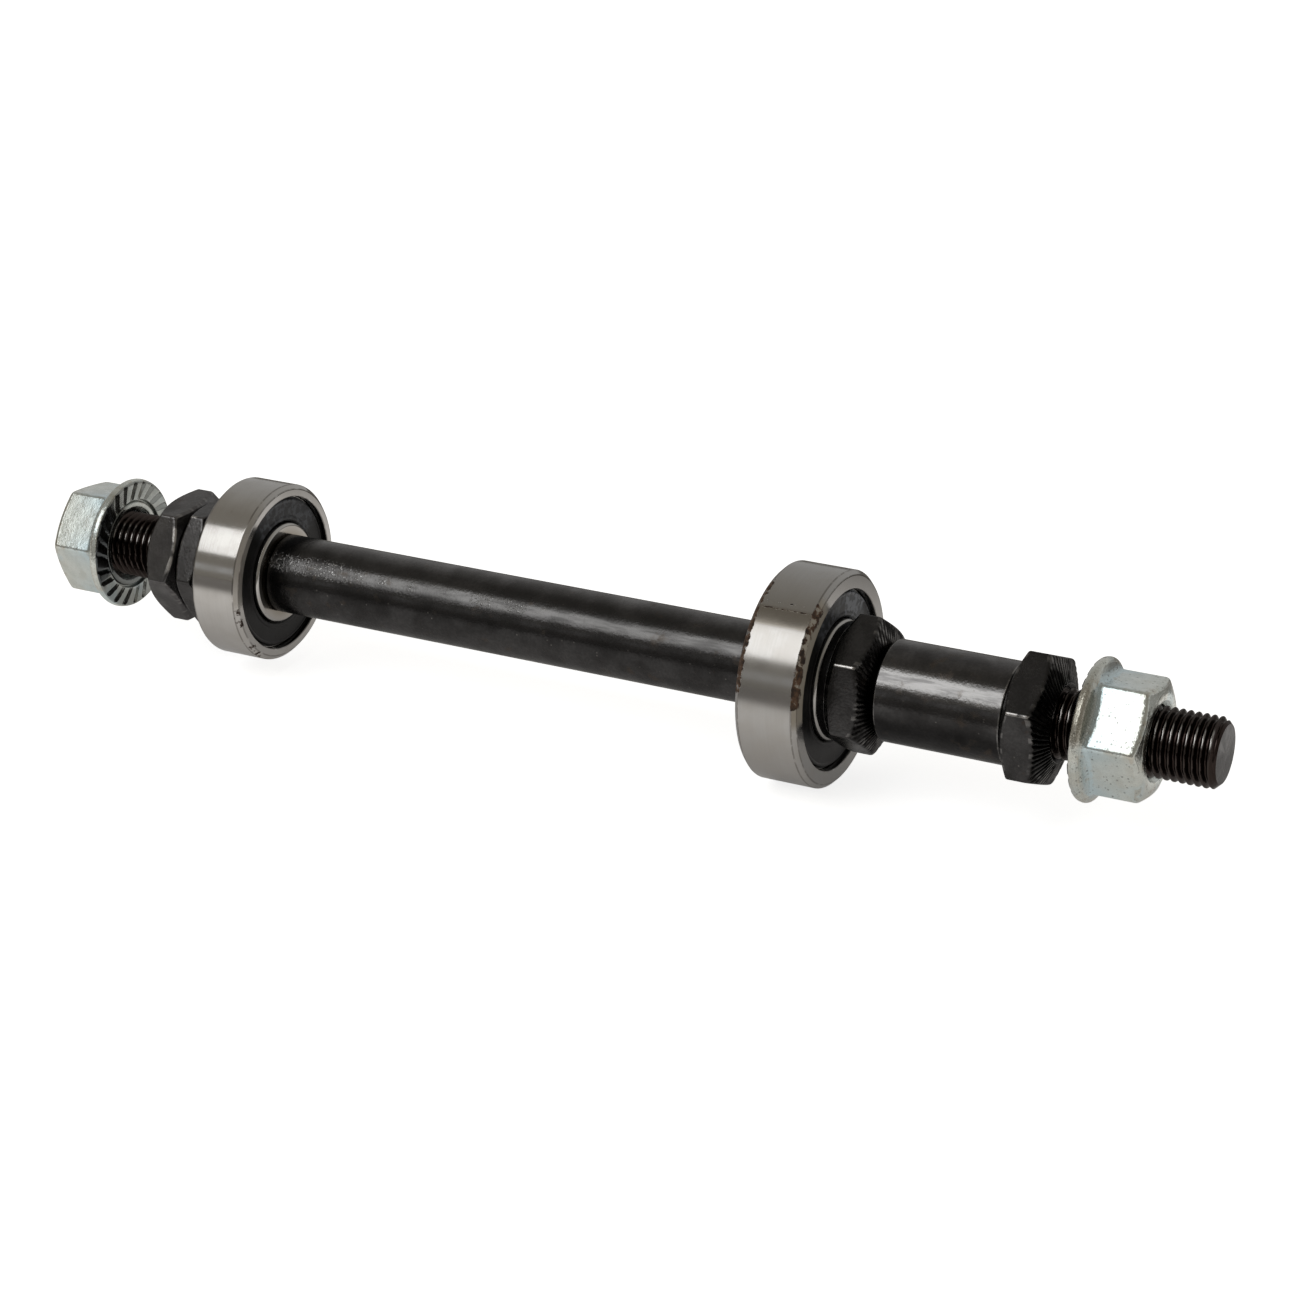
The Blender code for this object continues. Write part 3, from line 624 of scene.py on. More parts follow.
def axle():
    """Axle with both threads, as one closed bar whose rows are spaced by what they show."""
    th = circle(96)
    fine = THREAD_PITCH / ROWS_PER_THREAD
    left = np.arange(-AXLE_END, LEFT_THREAD_END + fine, fine)
    right = np.arange(RIGHT_THREAD_START - fine, AXLE_END, fine)
    left = np.append(left[left < LEFT_THREAD_END], LEFT_THREAD_END)
    right = np.append(RIGHT_THREAD_START, right[right > RIGHT_THREAD_START])
    right = np.append(right, AXLE_END)
    body = np.linspace(BODY_START + 1.0, BODY_END - 1.0, BODY_ROWS)
    plain = [(LEFT_SEAT_STEP[0], THREAD_RADIUS), (LEFT_SEAT_STEP[1], SEAT_RADIUS)]
    plain += [(BODY_START, SEAT_RADIUS), (BODY_START, BODY_RADIUS - BODY_CHAMFER)]
    plain += [(BODY_START + BODY_CHAMFER, BODY_RADIUS)] + [(x, BODY_RADIUS) for x in body]
    plain += [(BODY_END - BODY_CHAMFER, BODY_RADIUS), (BODY_END, BODY_RADIUS - BODY_CHAMFER)]
    plain += [(BODY_END, SEAT_RADIUS), (RIGHT_SEAT_STEP[0], SEAT_RADIUS)]
    plain += [(RIGHT_SEAT_STEP[1], THREAD_RADIUS)]
    plain_x, plain_r = np.array(plain).T
    x = np.concatenate([left, plain_x, right])[:, None]
    r = np.concatenate([0.0 * left + THREAD_RADIUS, plain_r, 0.0 * right + THREAD_RADIUS])[:, None]
    is_left = x < LEFT_THREAD_END + 1e-6
    is_right = x > RIGHT_THREAD_START - 1e-6
    cut_left = thread_radius(x, th, -AXLE_END - 5, LEFT_THREAD_END)
    cut_right = thread_radius(x, th, RIGHT_THREAD_START, AXLE_END + 5)
    r = np.where(is_left, cut_left, np.where(is_right, cut_right, r))
    r = np.minimum(r, THREAD_RADIUS - END_CHAMFER + (AXLE_END - np.abs(x)))
    threaded = (is_left | is_right) * np.ones_like(r)
    groove = unit((THREAD_RADIUS - r) / THREAD_DEPTH) * threaded
    end_face = np.array(END_RADII)[:, None] * np.ones_like(th)
    r = np.concatenate([end_face, r, end_face[::-1]])
    more = ((len(END_RADII), len(END_RADII)), (0, 0))
    x = np.pad(x, more, mode="edge")
    groove, threaded = np.pad(groove, more), np.pad(threaded, more)
    # Painted highlight: a strip along the body, where the key light reflects
    body_highlight = highlight_strip(x, th, 48, 55.5, 9.0)
    # Pits painted bright as glints, only from 40 to 62 degrees where the highlight lies
    pits_and_glints = around_value(x, -50.5, -42.0, 5.0) * around(th, 40, 62, 6)
    for middle, half in PITS_AND_GLINTS:
        spot = around_value(x, middle - half, middle + half, 0.6)
        pits_and_glints = np.maximum(pits_and_glints, spot * around(th, 46, 56, 5))
    values = {
        "groove": groove,
        "thread": threaded,
        # Painted highlight: on the threads a band of crests from 38 to 58 degrees, on the body the
        # strip
        "polish": np.where(threaded > 0, around(th, 38, 58, 10), body_highlight),
        # The value named grain carries the pits with their painted glints
        "grain": pits_and_glints,
        # Painted light and shade by the angle round the axle, lower on the end faces
        "painted_light": painted_light(th, TUBE_PAINTED_LIGHT) * np.where(np.abs(x) > 89.3, 0.75, 1.0),
    }
    item = bar("axle_surface", x, r, th, values)
    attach(item, "root")
    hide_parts("axle")
    return item


def spacer():
    """Spacer tube with eased edges, from the right cone nut to the right locknut."""
    th = circle(240)
    side = SPACER_RADIUS - SPACER_CHAMFER
    pairs = [(SPACER_START, SPACER_BORE), (SPACER_START, side)]
    pairs += [(SPACER_START + SPACER_CHAMFER, SPACER_RADIUS)]
    pairs += [(SPACER_END - SPACER_CHAMFER, SPACER_RADIUS)]
    pairs += [(SPACER_END, side), (SPACER_END, SPACER_BORE)]
    x, r, edge = rounded(pairs, [0.1, 0.1, 0.15, 0.15, 0.1, 0.1], th)
    # Painted highlight: a strip painted bright where the key light reflects
    polish = highlight_strip(x, th, 47, 58, 11.0)
    # Painted light and shade by the angle round the spacer
    values = {"polish": polish, "painted_light": painted_light(th, SPACER_PAINTED_LIGHT), "edge": 0.35 * edge}
    values |= {key: 0.0 * polish for key in ("groove", "thread", "grain")}
    item = ring("spacer_surface", x, r, th, values)
    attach(item, "root")
    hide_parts("spacer")
    return item


def node(tree, kind, inputs=None, **settings):
    """Add a node. Settings are its properties; an input is a socket to link or a constant."""
    made = tree.nodes.new(kind)
    for key, value in settings.items():
        setattr(made, key, value)
    for key, value in (inputs or {}).items():
        if isinstance(value, bpy.types.NodeSocket):
            tree.links.new(value, made.inputs[key])
        else:
            made.inputs[key].default_value = value
    return made


def calc(tree, operation, a, b=0.0, c=0.0, clamp=False):
    """Result of one math node."""
    inputs = {0: a, 1: b, 2: c}
    return node(tree, "ShaderNodeMath", inputs, operation=operation, use_clamp=clamp).outputs[0]


def times(tree, a, b):
    """Product of two values."""
    return calc(tree, "MULTIPLY", a, b)


def between(tree, value, low, high, new_low=0.0, new_high=1.0):
    """Smooth step: the value's range low to high becomes new_low to new_high."""
    inputs = {"Value": value, 1: low, 2: high, 3: new_low, 4: new_high}
    kind = "SMOOTHSTEP"
    return node(tree, "ShaderNodeMapRange", inputs, interpolation_type=kind).outputs["Result"]


def blend(tree, share, a, b):
    """Colour that goes from a to b with the share; both may be sockets or constants."""
    a, b = ((*part, 1.0) if isinstance(part, tuple) else part for part in (a, b))
    inputs = {0: share, 6: a, 7: b}
    return node(tree, "ShaderNodeMix", inputs, data_type="RGBA").outputs[2]


def coat(tree, colour, top, mask, strength):
    """Colour with another one laid over it where the mask says, at that strength."""
    return blend(tree, times(tree, mask, strength), colour, top)


def tinted(level, tint):
    """Colour of a tint at that level."""
    return tuple(level * part for part in tint)


def painted(tree, key):
    """Value that a grid carries under that name."""
    return node(tree, "ShaderNodeAttribute", attribute_name=key).outputs["Fac"]


def vector(tree, operation, inputs):
    """Result of one vector math node."""
    return node(tree, "ShaderNodeVectorMath", inputs, operation=operation).outputs["Vector"]


def millimetres(tree):
    """Object coordinates in millimetres."""
    place = node(tree, "ShaderNodeTexCoord").outputs["Object"]
    return vector(tree, "SCALE", {0: place, "Scale": 1000.0})


def group_tree(name, inputs, outputs=("Value",)):
    """Empty node group with these sockets, and its input and output nodes."""
    tree = bpy.data.node_groups.new(name, "ShaderNodeTree")
    for key, value in inputs.items():
        kind = "NodeSocketVector" if isinstance(value, tuple) else "NodeSocketFloat"
        socket = tree.interface.new_socket(name=key, in_out="INPUT", socket_type=kind)
        socket.default_value = value
    for key in outputs:
        kind = "NodeSocketColor" if key == "Color" else "NodeSocketFloat"
        tree.interface.new_socket(name=key, in_out="OUTPUT", socket_type=kind)
    return tree, node(tree, "NodeGroupInput").outputs, node(tree, "NodeGroupOutput")


def mottle_group():
    """Cloudy patches: noise of that size and stretch in mm, its range low to high made 0 to 1."""
    inputs = {"Size": 1.0, "Stretch": (1.0, 1.0, 1.0), "Seed": 0.0}
    inputs |= {"Detail": 4.0, "Low": 0.35, "High": 0.65}
    tree, given, result = group_tree("mottle", inputs)
    place = vector(tree, "DIVIDE", {0: millimetres(tree), 1: given["Stretch"]})
    scale = calc(tree, "DIVIDE", 1.0, given["Size"])
    inputs = {"Vector": place, "W": given["Seed"], "Scale": scale, "Detail": given["Detail"]}
    noise = node(tree, "ShaderNodeTexNoise", inputs, noise_dimensions="4D")
    value = between(tree, noise.outputs[0], given["Low"], given["High"])
    tree.links.new(value, result.inputs["Value"])
    return tree


def speck_group():
    """Small scattered dots: the middles of Voronoi cells, of which a share is kept at random."""
    inputs = {"Size": 1.0, "Share": 0.3, "Width": 0.3, "Seed": 0.0}
    tree, given, result = group_tree("specks", inputs)
    shift = vector(tree, "SCALE", {0: (17.3, 9.1, 5.7), "Scale": given["Seed"]})
    place = vector(tree, "ADD", {0: millimetres(tree), 1: shift})
    scale = calc(tree, "DIVIDE", 1.0, given["Size"])
    cells = node(tree, "ShaderNodeTexVoronoi", {"Vector": place, "Scale": scale})
    chance = node(tree, "ShaderNodeSeparateColor", {"Color": cells.outputs["Color"]})
    width = times(tree, given["Width"], chance.outputs["Green"])
    dot = between(tree, cells.outputs["Distance"], width, 0.0)
    kept = calc(tree, "LESS_THAN", chance.outputs["Red"], given["Share"])
    tree.links.new(times(tree, dot, kept), result.inputs["Value"])
    return tree


def rust_group():
    """Rust where the grid allows it: a mask with ragged rims, and a colour that varies in it."""
    inputs = {"Size": 0.8, "Seed": 0.0}
    tree, given, result = group_tree("rust", inputs, ("Mask", "Color"))
    allowed = painted(tree, "rust")
    place = millimetres(tree)
    scale = calc(tree, "DIVIDE", 1.0, given["Size"])
    inputs = {"Vector": place, "W": given["Seed"], "Scale": scale, "Detail": 5.0, "Roughness": 0.6}
    noise = node(tree, "ShaderNodeTexNoise", inputs, noise_dimensions="4D").outputs[0]
    level = calc(tree, "ADD", times(tree, allowed, 0.42), noise)
    ragged = between(tree, level, 0.76, 0.84)
    mask = times(tree, ragged, between(tree, allowed, 0.02, 0.1))
    tree.links.new(mask, result.inputs["Mask"])
    colour = blend(tree, between(tree, noise, 0.4, 0.65), RUST_PALE, RUST_DEEP)
    tree.links.new(colour, result.inputs["Color"])
    return tree


def edge_group():
    """Edges: the edge value of the grid, broken up by noise; it carries worn edges, painted glints
    on the nuts and painted shade on the outer rings.
    """
    inputs = {"Size": 1.5, "Low": 0.5}
    tree, given, result = group_tree("broken_edge", inputs)
    edge = painted(tree, "edge")
    scale = calc(tree, "DIVIDE", 1.0, given["Size"])
    inputs = {"Vector": millimetres(tree), "Scale": scale, "Detail": 4.0}
    noise = node(tree, "ShaderNodeTexNoise", inputs)
    high = calc(tree, "ADD", given["Low"], 0.16)
    value = times(tree, edge, between(tree, noise.outputs[0], given["Low"], high))
    tree.links.new(value, result.inputs["Value"])
    return tree


def use(tree, group, **inputs):
    """Value of a node group that is given these inputs."""
    return node(tree, "ShaderNodeGroup", inputs, node_tree=group).outputs[0]


def bump(tree, height, distance, strength, normal=None):
    """Normal of a height map; the distance is in millimetres."""
    inputs = {"Height": height, "Distance": distance * MM, "Strength": strength}
    if normal is not None:
        inputs["Normal"] = normal
    return node(tree, "ShaderNodeBump", inputs).outputs["Normal"]


def new_material(name, groups, metallic=1.0):
    """Material with one Principled shader, its tree, the shader's inputs, and its mottle."""
    material = bpy.data.materials.new(name)
    material.use_nodes = True
    tree = material.node_tree
    inputs = tree.nodes["Principled BSDF"].inputs
    inputs["Metallic"].default_value = metallic
    return material, tree, inputs, partial(use, tree, groups["mottle"])


def feed(tree, shader, **sockets):
    """Link values to a shader's inputs, whose names are written with _ for a space."""
    for key, value in sockets.items():
        tree.links.new(value, shader[key.replace("_", " ")])


def black_oxide(
    name, groups, light=0.056, rough=0.27, polish=0.0, brown=0.62, specks=0.08, seed=0.0
):
    """Blackened steel: uneven satin black with brown patches, bright specks, worn edges and painted
    glints.

    light is its plain reflectance, and the value after rough the one of a strip painted bright
    as a highlight. With that strip the grid also carries the painted light and shade, the pits
    with painted glints and the thread of a tube, and without it the darkening of a knurled face.
    """
    material, tree, shader, mottle = new_material(name, groups)
    clouds = mottle(Size=4.2, Seed=seed, Detail=5.0, Low=0.36, High=0.64)
    grain = mottle(Size=0.34, Seed=seed + 1, Detail=3.0, Low=0.3, High=0.7)
    rusty = mottle(Size=2.1, Seed=seed + 2, Detail=5.0, Low=brown, High=brown + 0.14)
    dots = use(tree, groups["specks"], Size=0.6, Share=specks, Width=0.36, Seed=seed + 3)
    wear_and_glint = use(tree, groups["edge"], Size=2.2, Low=0.40)
    colour = blend(tree, clouds, tinted(light, BLACK_DARK), tinted(light, BLACK_PALE))
    colour = coat(tree, colour, tinted(light, BLACK_DEEP), grain, 0.35)
    roughness = between(tree, clouds, 0.0, 1.0, rough * 1.15, rough * 0.85)
    if polish:
        highlight, thread, groove, pits_and_glints, level = (
            painted(tree, key) for key in ("polish", "thread", "groove", "grain", "painted_light")
        )
        # Painted light and shade: the colour scaled by the level that the grid carries
        colour = vector(tree, "SCALE", {0: colour, "Scale": level})
        # Painted highlight strip, broken into streaks
        lines = mottle(Size=0.8, Stretch=(6.0, 0.8, 0.8), Seed=seed + 4, Low=0.30, High=0.62)
        share = times(tree, highlight, between(tree, lines, 0.0, 1.0, 0.35, 1.0))
        colour = blend(tree, share, colour, tinted(polish, HIGHLIGHT_WHITE))
        # Pits painted bright as glints within the highlight, and bumped
        spots = mottle(Size=0.30, Seed=seed + 6, Detail=2.0, Low=0.52, High=0.64)
        colour = coat(tree, colour, GLINT_BRIGHT, pits_and_glints, spots)
    else:
        # Darker knurled face of a nut
        colour = coat(tree, colour, KNURL_DARK, painted(tree, "knurl_darkening"), 0.9)
    earth, strength = (TUBE_BROWN, 0.42) if polish else (NUT_BROWN, 0.35)
    colour = coat(tree, colour, earth, rusty, strength)
    colour = coat(tree, colour, BLACK_SPECK, dots, 0.6)
    # Worn edges, and painted glints on the nuts' edges
    colour = blend(tree, wear_and_glint, colour, BARE_EDGE_AND_GLINT)
    if polish:
        # Painted glints on the threads' crests, where the grid's highlight value is high
        crest = blend(tree, highlight, CREST_DARK, CREST_GLINT)
        flank = blend(tree, between(tree, groove, 0.0, 0.4), crest, THREAD_ROOT)
        colour = blend(tree, thread, colour, flank)
        roughness = between(tree, thread, 0.0, 1.0, roughness, 0.20)
    roughness = calc(tree, "MULTIPLY_ADD", rusty, 0.15, roughness)
    shader["Specular Tint"].default_value = (0.7, 0.7, 0.7, 1.0)
    normal = bump(tree, grain, 0.016, 0.5)
    if polish:
        normal = bump(tree, times(tree, pits_and_glints, spots), 0.06, 0.7, normal)
    wave = mottle(Size=1.6, Seed=seed + 5, Detail=3.0, Low=0.2, High=0.8)
    normal = bump(tree, wave, 0.03, 0.5, normal)
    feed(tree, shader, Base_Color=colour, Roughness=roughness, Normal=normal)
    return material


def zinc_plate(name, groups, specks):
    """Zinc plating: satin greenish grey clouds with bluish and yellowish tints and dark specks.

    The grid carries the bluish fillet, the worn edges, the painted shade on the toothed face and
    the stained flange.
    """
    material, tree, shader, mottle = new_material(name, groups)
    clouds = mottle(Size=1.3, Seed=1.0, Detail=6.0, Low=0.30, High=0.70)
    fine = mottle(Size=0.22, Seed=2.0, Detail=3.0, Low=0.3, High=0.7)
    blue = mottle(Size=4.5, Seed=6.3, Detail=2.0, Low=0.53, High=0.66)
    yellow = mottle(Size=1.6, Seed=9.1, Detail=4.0, Low=0.50, High=0.64)
    dots = use(tree, groups["specks"], Size=0.42, Share=0.5, Width=0.62, Seed=4.0)
    ragged = mottle(Size=0.5, Seed=12.0, Detail=3.0, Low=0.3, High=0.7)
    fillet, edge, face, flange = (painted(tree, key) for key in ("fillet", "edge", "face", "stain"))
    colour = blend(tree, clouds, ZINC_DARK, ZINC_PALE)
    colour = coat(tree, colour, ZINC_GRAIN, fine, 0.22)
    tint = times(tree, blue, 0.3)
    tint = calc(tree, "MAXIMUM", tint, times(tree, fillet, 0.6))
    colour = blend(tree, tint, colour, ZINC_BLUE)
    stain = times(tree, yellow, between(tree, edge, 0.0, 1.0, 0.12, 0.45))
    stain = calc(tree, "MAXIMUM", stain, times(tree, flange, 0.5))
    colour = blend(tree, stain, colour, ZINC_STAIN)
    colour = coat(tree, colour, ZINC_DIRT, flange, times(tree, fine, 0.4))
    # Painted shade on the toothed face and the ring round the bore
    colour = coat(tree, colour, ZINC_FACE_SHADE, face, 0.9)
    colour = coat(tree, colour, ZINC_SPECK, dots, specks)
    roughness = between(tree, clouds, 0.0, 1.0, 0.27, 0.23)
    normal = bump(tree, fine, 0.006, 0.6)
    normal = bump(tree, times(tree, ragged, edge), 0.05, 0.6, normal)
    normal = bump(tree, clouds, 0.03, 0.4, normal)
    feed(tree, shader, Base_Color=colour, Roughness=roughness, Normal=normal)
    return material


def ground_steel(name, groups, light, rough, seed=0.0):
    """Ground bearing steel: fine lines round the axis, faint stains, specks and painted shade on
    edges.

    The grid carries the stains and the painted shade of the inner rings' faces, the dull
    places, and where rust is allowed.
    """
    material, tree, shader, mottle = new_material(name, groups)
    lines = mottle(Size=0.16, Stretch=(1.0, 60.0, 60.0), Seed=seed, Low=0.3, High=0.7)
    clouds = mottle(Size=3.0, Seed=seed + 1, Detail=5.0, Low=0.35, High=0.7)
    dots = use(tree, groups["specks"], Size=1.3, Share=0.10, Width=0.2, Seed=seed + 2)
    rust = node(tree, "ShaderNodeGroup", {"Seed": seed}, node_tree=groups["rust"]).outputs
    stain = painted(tree, "stain")
    colour = blend(tree, lines, tinted(light, WARM_STEEL), tinted(light * 1.04, WARM_STEEL))
    colour = coat(tree, colour, STEEL_CLOUD, clouds, 0.22)
    # Stains on the outer rings, and painted shade on the inner rings' faces
    colour = coat(tree, colour, STEEL_STAIN_AND_SHADE, stain, 0.55)
    colour = coat(tree, colour, STEEL_SPECK, dots, 0.6)
    dull = painted(tree, "dull")
    colour = blend(tree, dull, colour, STEEL_DULL)
    # Painted shade along the outer rings' edges
    edge_shade = use(tree, groups["edge"], Size=1.1, Low=0.32)
    colour = coat(tree, colour, STEEL_EDGE_SHADE, edge_shade, 0.5)
    colour = blend(tree, rust["Mask"], colour, rust["Color"])
    roughness = between(tree, clouds, 0.0, 1.0, rough, rough + 0.04)
    matt = calc(tree, "MAXIMUM", rust["Mask"], times(tree, dull, 0.8))
    more = times(tree, matt, 0.6)
    roughness = calc(tree, "ADD", roughness, more, clamp=True)
    metallic = calc(tree, "SUBTRACT", 1.0, matt)
    shader["Specular Tint"].default_value = (0.8, 0.8, 0.8, 1.0)
    normal = bump(tree, rust["Mask"], 0.06, 0.6, bump(tree, lines, 0.002, 0.3))
    feed(tree, shader, Base_Color=colour, Roughness=roughness, Metallic=metallic, Normal=normal)
    return material


def seal_rubber(name, groups):
    """Moulded rubber: dull black, with a dusty bloom where the grid carries dust."""
    material, tree, shader, mottle = new_material(name, groups, 0.0)
    clouds = mottle(Size=2.4, Seed=3.0, Detail=5.0, Low=0.42, High=0.70)
    dusty = painted(tree, "dust")
    marks = mottle(Size=0.8, Seed=8.0, Detail=4.0, Low=0.44, High=0.60)
    colour = blend(tree, clouds, RUBBER_DARK, RUBBER_PALE)
    bloom = times(tree, dusty, between(tree, marks, 0.0, 1.0, 0.3, 1.0))
    colour = coat(tree, colour, RUBBER_DUST, bloom, 0.8)
    shader["Roughness"].default_value = 0.42
    shader["Specular IOR Level"].default_value = 0.22
    feed(tree, shader, Base_Color=colour, Normal=bump(tree, marks, 0.01, 0.4))
    return material


def plain_steel(name, groups, colour, rough):
    """Bare steel of the balls and cages, with a faint cloudiness."""
    material, tree, shader, mottle = new_material(name, groups)
    clouds = mottle(Size=1.2, Seed=5.0)
    colour = blend(tree, clouds, colour, tinted(0.85, colour))
    roughness = between(tree, clouds, 0.0, 1.0, rough, rough * 1.4)
    feed(tree, shader, Base_Color=colour, Roughness=roughness)
    return material


def stage_sheet(name, corners):
    """Flat sheet of the stage with an empty material; gives the sheet and the material's tree."""
    item = add_mesh(name, corners, [np.array([[0, 1, 2, 3]])], {})
    material = bpy.data.materials.new(name)
    material.use_nodes = True
    material.node_tree.nodes.clear()
    item.data.materials.append(material)
    return item, material.node_tree


def light_panel(name, angle, distance, middle, across, along, strength):
    """Soft light: a flat panel at that angle round the axle, facing it, with an even radiance.

    The camera doesn't see it. Its middle lies at x = middle; across is its size round
    the axle and along its size in x.
    """
    th = math.radians(angle)
    outwards = np.array([0.0, -math.sin(th), math.cos(th)])
    side = np.array([0.0, math.cos(th), math.sin(th)])
    centre = np.array([middle, 0.0, 0.0]) + outwards * distance
    signs = np.array([(-1, -1), (1, -1), (1, 1), (-1, 1)]) / 2.0
    corners = centre + signs[:, :1] * np.array([along, 0, 0]) + signs[:, 1:] * across * side
    item, tree = stage_sheet(name, corners)
    inputs = {"Color": (1.0, 0.995, 0.985, 1.0), "Strength": strength}
    glow = node(tree, "ShaderNodeEmission", inputs)
    node(tree, "ShaderNodeOutputMaterial", {"Surface": glow.outputs["Emission"]})
    item.visible_camera = False


def surroundings():
    """White behind the object for the camera, and a room of soft greys for every other ray.

    The room's grey depends on the direction's angle round the axle: bright behind and
    above, darker on both sides of the key light, and bright again at the floor.
    """
    world = bpy.data.worlds.new("surroundings")
    bpy.context.scene.world = world
    world.use_nodes = True
    tree = world.node_tree
    tree.nodes.clear()
    way = node(tree, "ShaderNodeTexCoord").outputs["Generated"]
    parts = node(tree, "ShaderNodeSeparateXYZ", {"Vector": way}).outputs
    angle = calc(tree, "ARCTAN2", times(tree, parts["Y"], -1.0), parts["Z"])
    share = calc(tree, "MULTIPLY_ADD", angle, 1.0 / TAU, 0.5)
    ramp = node(tree, "ShaderNodeValToRGB", {"Fac": share})
    points = ramp.color_ramp.elements
    while len(points) < len(ROOM_LEVELS):
        points.new(0.5)
    for point, (degrees, level, warmth) in zip(points, ROOM_LEVELS):
        point.position = degrees / 360.0 + 0.5
        point.color = (level, level * (1.0 - 0.07 * warmth), level * (1.0 - 0.18 * warmth), 1.0)
    room = node(tree, "ShaderNodeBackground", {"Color": ramp.outputs["Color"]})
    plain = node(tree, "ShaderNodeBackground", {"Color": (1.0, 1.0, 1.0, 1.0)})
    seen = node(tree, "ShaderNodeLightPath").outputs["Is Camera Ray"]
    inputs = {0: seen, 1: room.outputs["Background"], 2: plain.outputs["Background"]}
    both = node(tree, "ShaderNodeMixShader", inputs)
    node(tree, "ShaderNodeOutputWorld", {"Surface": both.outputs["Shader"]})


def white_floor():
    """Pale floor under the bearings. It keeps the shadow, and a glow lifts the rest to white."""
    corners = np.array([(-1, -1, 0), (1, -1, 0), (1, 1, 0), (-1, 1, 0)]) * FLOOR_HALF
    floor, tree = stage_sheet("floor", corners + (0, 0, FLOOR_Z))
    seen = node(tree, "ShaderNodeLightPath").outputs["Is Camera Ray"]
    across = node(tree, "ShaderNodeSeparateXYZ", {"Vector": millimetres(tree)}).outputs["Y"]
    away = calc(tree, "ABSOLUTE", across)
    near = between(tree, away, 92.0, 47.0)
    beside = times(tree, near, between(tree, away, 6.0, 38.0, 0.46, 1.0))
    gloss = times(tree, beside, FLOOR_GLOSS_GLOW)
    strength = calc(tree, "MAXIMUM", times(tree, seen, FLOOR_GLOW), gloss)
    shade = between(tree, near, 0.0, 1.0, 0.38, FLOOR_GREY)
    shade = calc(tree, "MAXIMUM", shade, times(tree, seen, FLOOR_GREY))
    tint = blend(tree, seen, (1.0, 0.965, 0.94), (0.985, 0.995, 1.0))
    colour = vector(tree, "SCALE", {0: tint, "Scale": shade})
    paint = node(tree, "ShaderNodeBsdfDiffuse", {"Color": colour})
    glow = node(tree, "ShaderNodeEmission", {"Strength": strength})
    both = node(tree, "ShaderNodeAddShader", {0: paint.outputs[0], 1: glow.outputs[0]})
    node(tree, "ShaderNodeOutputMaterial", {"Surface": both.outputs["Shader"]})


def set_stage():
    """Camera at the photo's angle, the lights, the room and the floor."""
    scene = bpy.context.scene
    scene.view_settings.view_transform = "Standard"
    data = bpy.data.cameras.new("camera")
    data.lens = CAMERA_LENS
    data.sensor_width = 36.0
    data.clip_start = 0.01
    camera = bpy.data.objects.new("camera", data)
    camera.location = Vector(CAMERA_PLACE) * MM
    camera.rotation_euler = Vector(CAMERA_LOOKS).to_track_quat("-Z", "Y").to_euler()
    scene.collection.objects.link(camera)
    scene.camera = camera
    light_panel("key", *KEY_LIGHT)
    light_panel("strip", *STRIP_LIGHT)
    surroundings()
    white_floor()


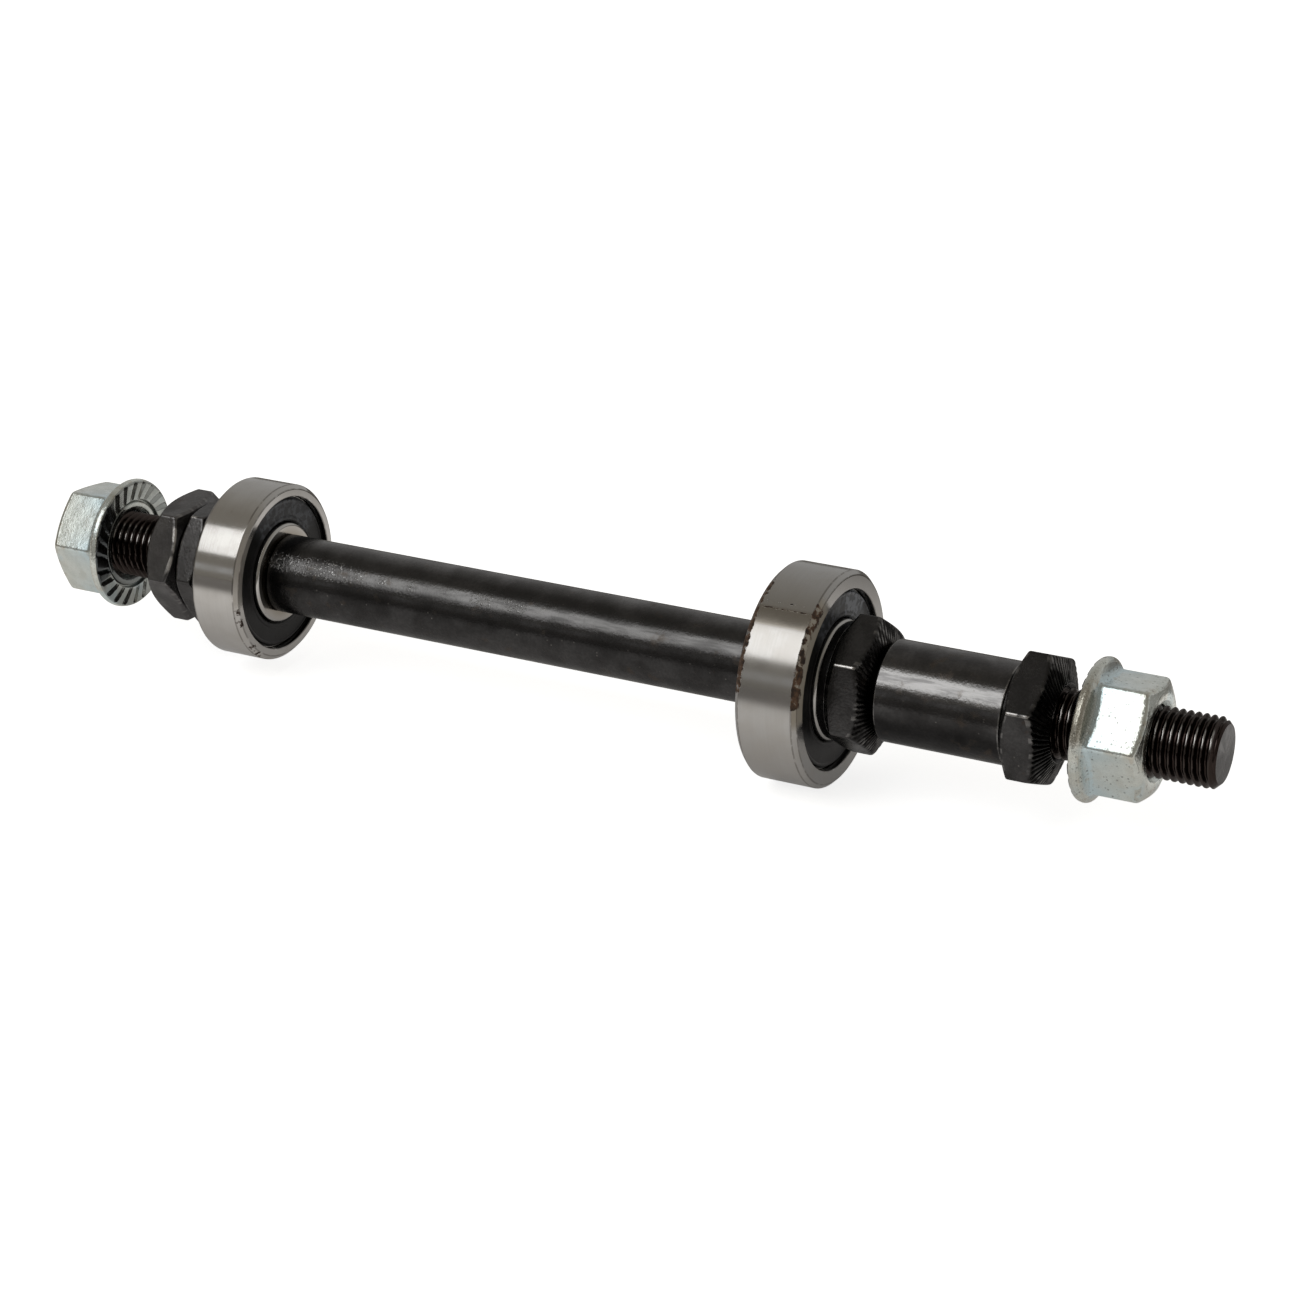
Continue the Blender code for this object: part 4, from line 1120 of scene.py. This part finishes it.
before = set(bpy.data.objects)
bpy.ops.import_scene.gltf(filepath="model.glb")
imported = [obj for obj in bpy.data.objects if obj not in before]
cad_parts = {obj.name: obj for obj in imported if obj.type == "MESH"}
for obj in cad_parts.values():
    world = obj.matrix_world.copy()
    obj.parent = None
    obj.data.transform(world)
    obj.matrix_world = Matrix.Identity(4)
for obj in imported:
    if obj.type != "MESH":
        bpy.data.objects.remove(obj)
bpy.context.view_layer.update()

groups = {
    "mottle": mottle_group(),
    "specks": speck_group(),
    "rust": rust_group(),
    "edge": edge_group(),
}
black = black_oxide("black_oxide", groups)
pale_black = black_oxide("black_oxide_left_locknut", groups, 0.13, 0.22, seed=31.0)
dim_black = black_oxide("black_oxide_left_cone_nut", groups, 0.088, 0.24, seed=43.0)
tube = black_oxide("black_oxide_axle", groups, 0.055, 0.24, 0.125, 0.60, 0.14, 11.0)
sleeve = black_oxide("black_oxide_spacer", groups, 0.050, 0.19, 0.245, 0.56, 0.05, 23.0)
left_zinc = zinc_plate("zinc_left", groups, 0.12)
right_zinc = zinc_plate("zinc_right", groups, 0.85)
left_steel = ground_steel("ground_steel_left", groups, 0.47, 0.13)
right_steel = ground_steel("ground_steel_right", groups, 0.385, 0.18, 3.0)
rubber = seal_rubber("seal_rubber", groups)
cage_steel = plain_steel("cage_steel", groups, CAGE_GREY, 0.35)
ball_steel = plain_steel("ball_steel", groups, BALL_GREY, 0.08)

axle().data.materials.append(tube)
spacer().data.materials.append(sleeve)
# Finish, name, station of the outer face, outwards, turn, thickness, radius of the boss,
# outer end, furrows of the knurl, corner with a painted highlight, angles of the inner rim's
# painted highlight, seed
BLACK_NUTS = (
    (dim_black, "left_cone_nut", -66.25, 1, -28.3, 4.2, 7.1, PLAIN_END, 0, 31.7, None, 3),
    (pale_black, "left_locknut", -72.55, 1, -24.1, 6.0, None, DOMED_END, 64, None, (38, 88), 5),
    (black, "right_cone_nut", 43.45, -1, -5.1, 6.0, 8.1, CONE_END, 64, 54.9, None, 7),
    (black, "right_locknut", 68.2, -1, 6.8, 6.0, None, CONE_END, 64, 66.8, None, 9),
)
for finish, *form in BLACK_NUTS:
    black_nut(*form).data.materials.append(finish)
flange_nut("left_axle_nut", -79.5, -1, 23.5, "left_axle_nut").data.materials.append(left_zinc)
flange_nut("right_axle_nut", 72.0, 1, 23.7, "right_axle_nut").data.materials.append(right_zinc)
BEARINGS = (("left", LEFT_BEARING, left_steel), ("right", RIGHT_BEARING, right_steel))
for side, form, finish in BEARINGS:
    outer, inner, seals = bearing(side, form)
    outer.data.materials.append(finish)
    inner.data.materials.append(finish)
    for seal in seals:
        seal.data.materials.append(rubber)
for name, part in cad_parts.items():
    if "_ball_" in name or "_cage_" in name:
        part.data.materials.clear()
        part.data.materials.append(ball_steel if "_ball_" in name else cage_steel)

set_stage()
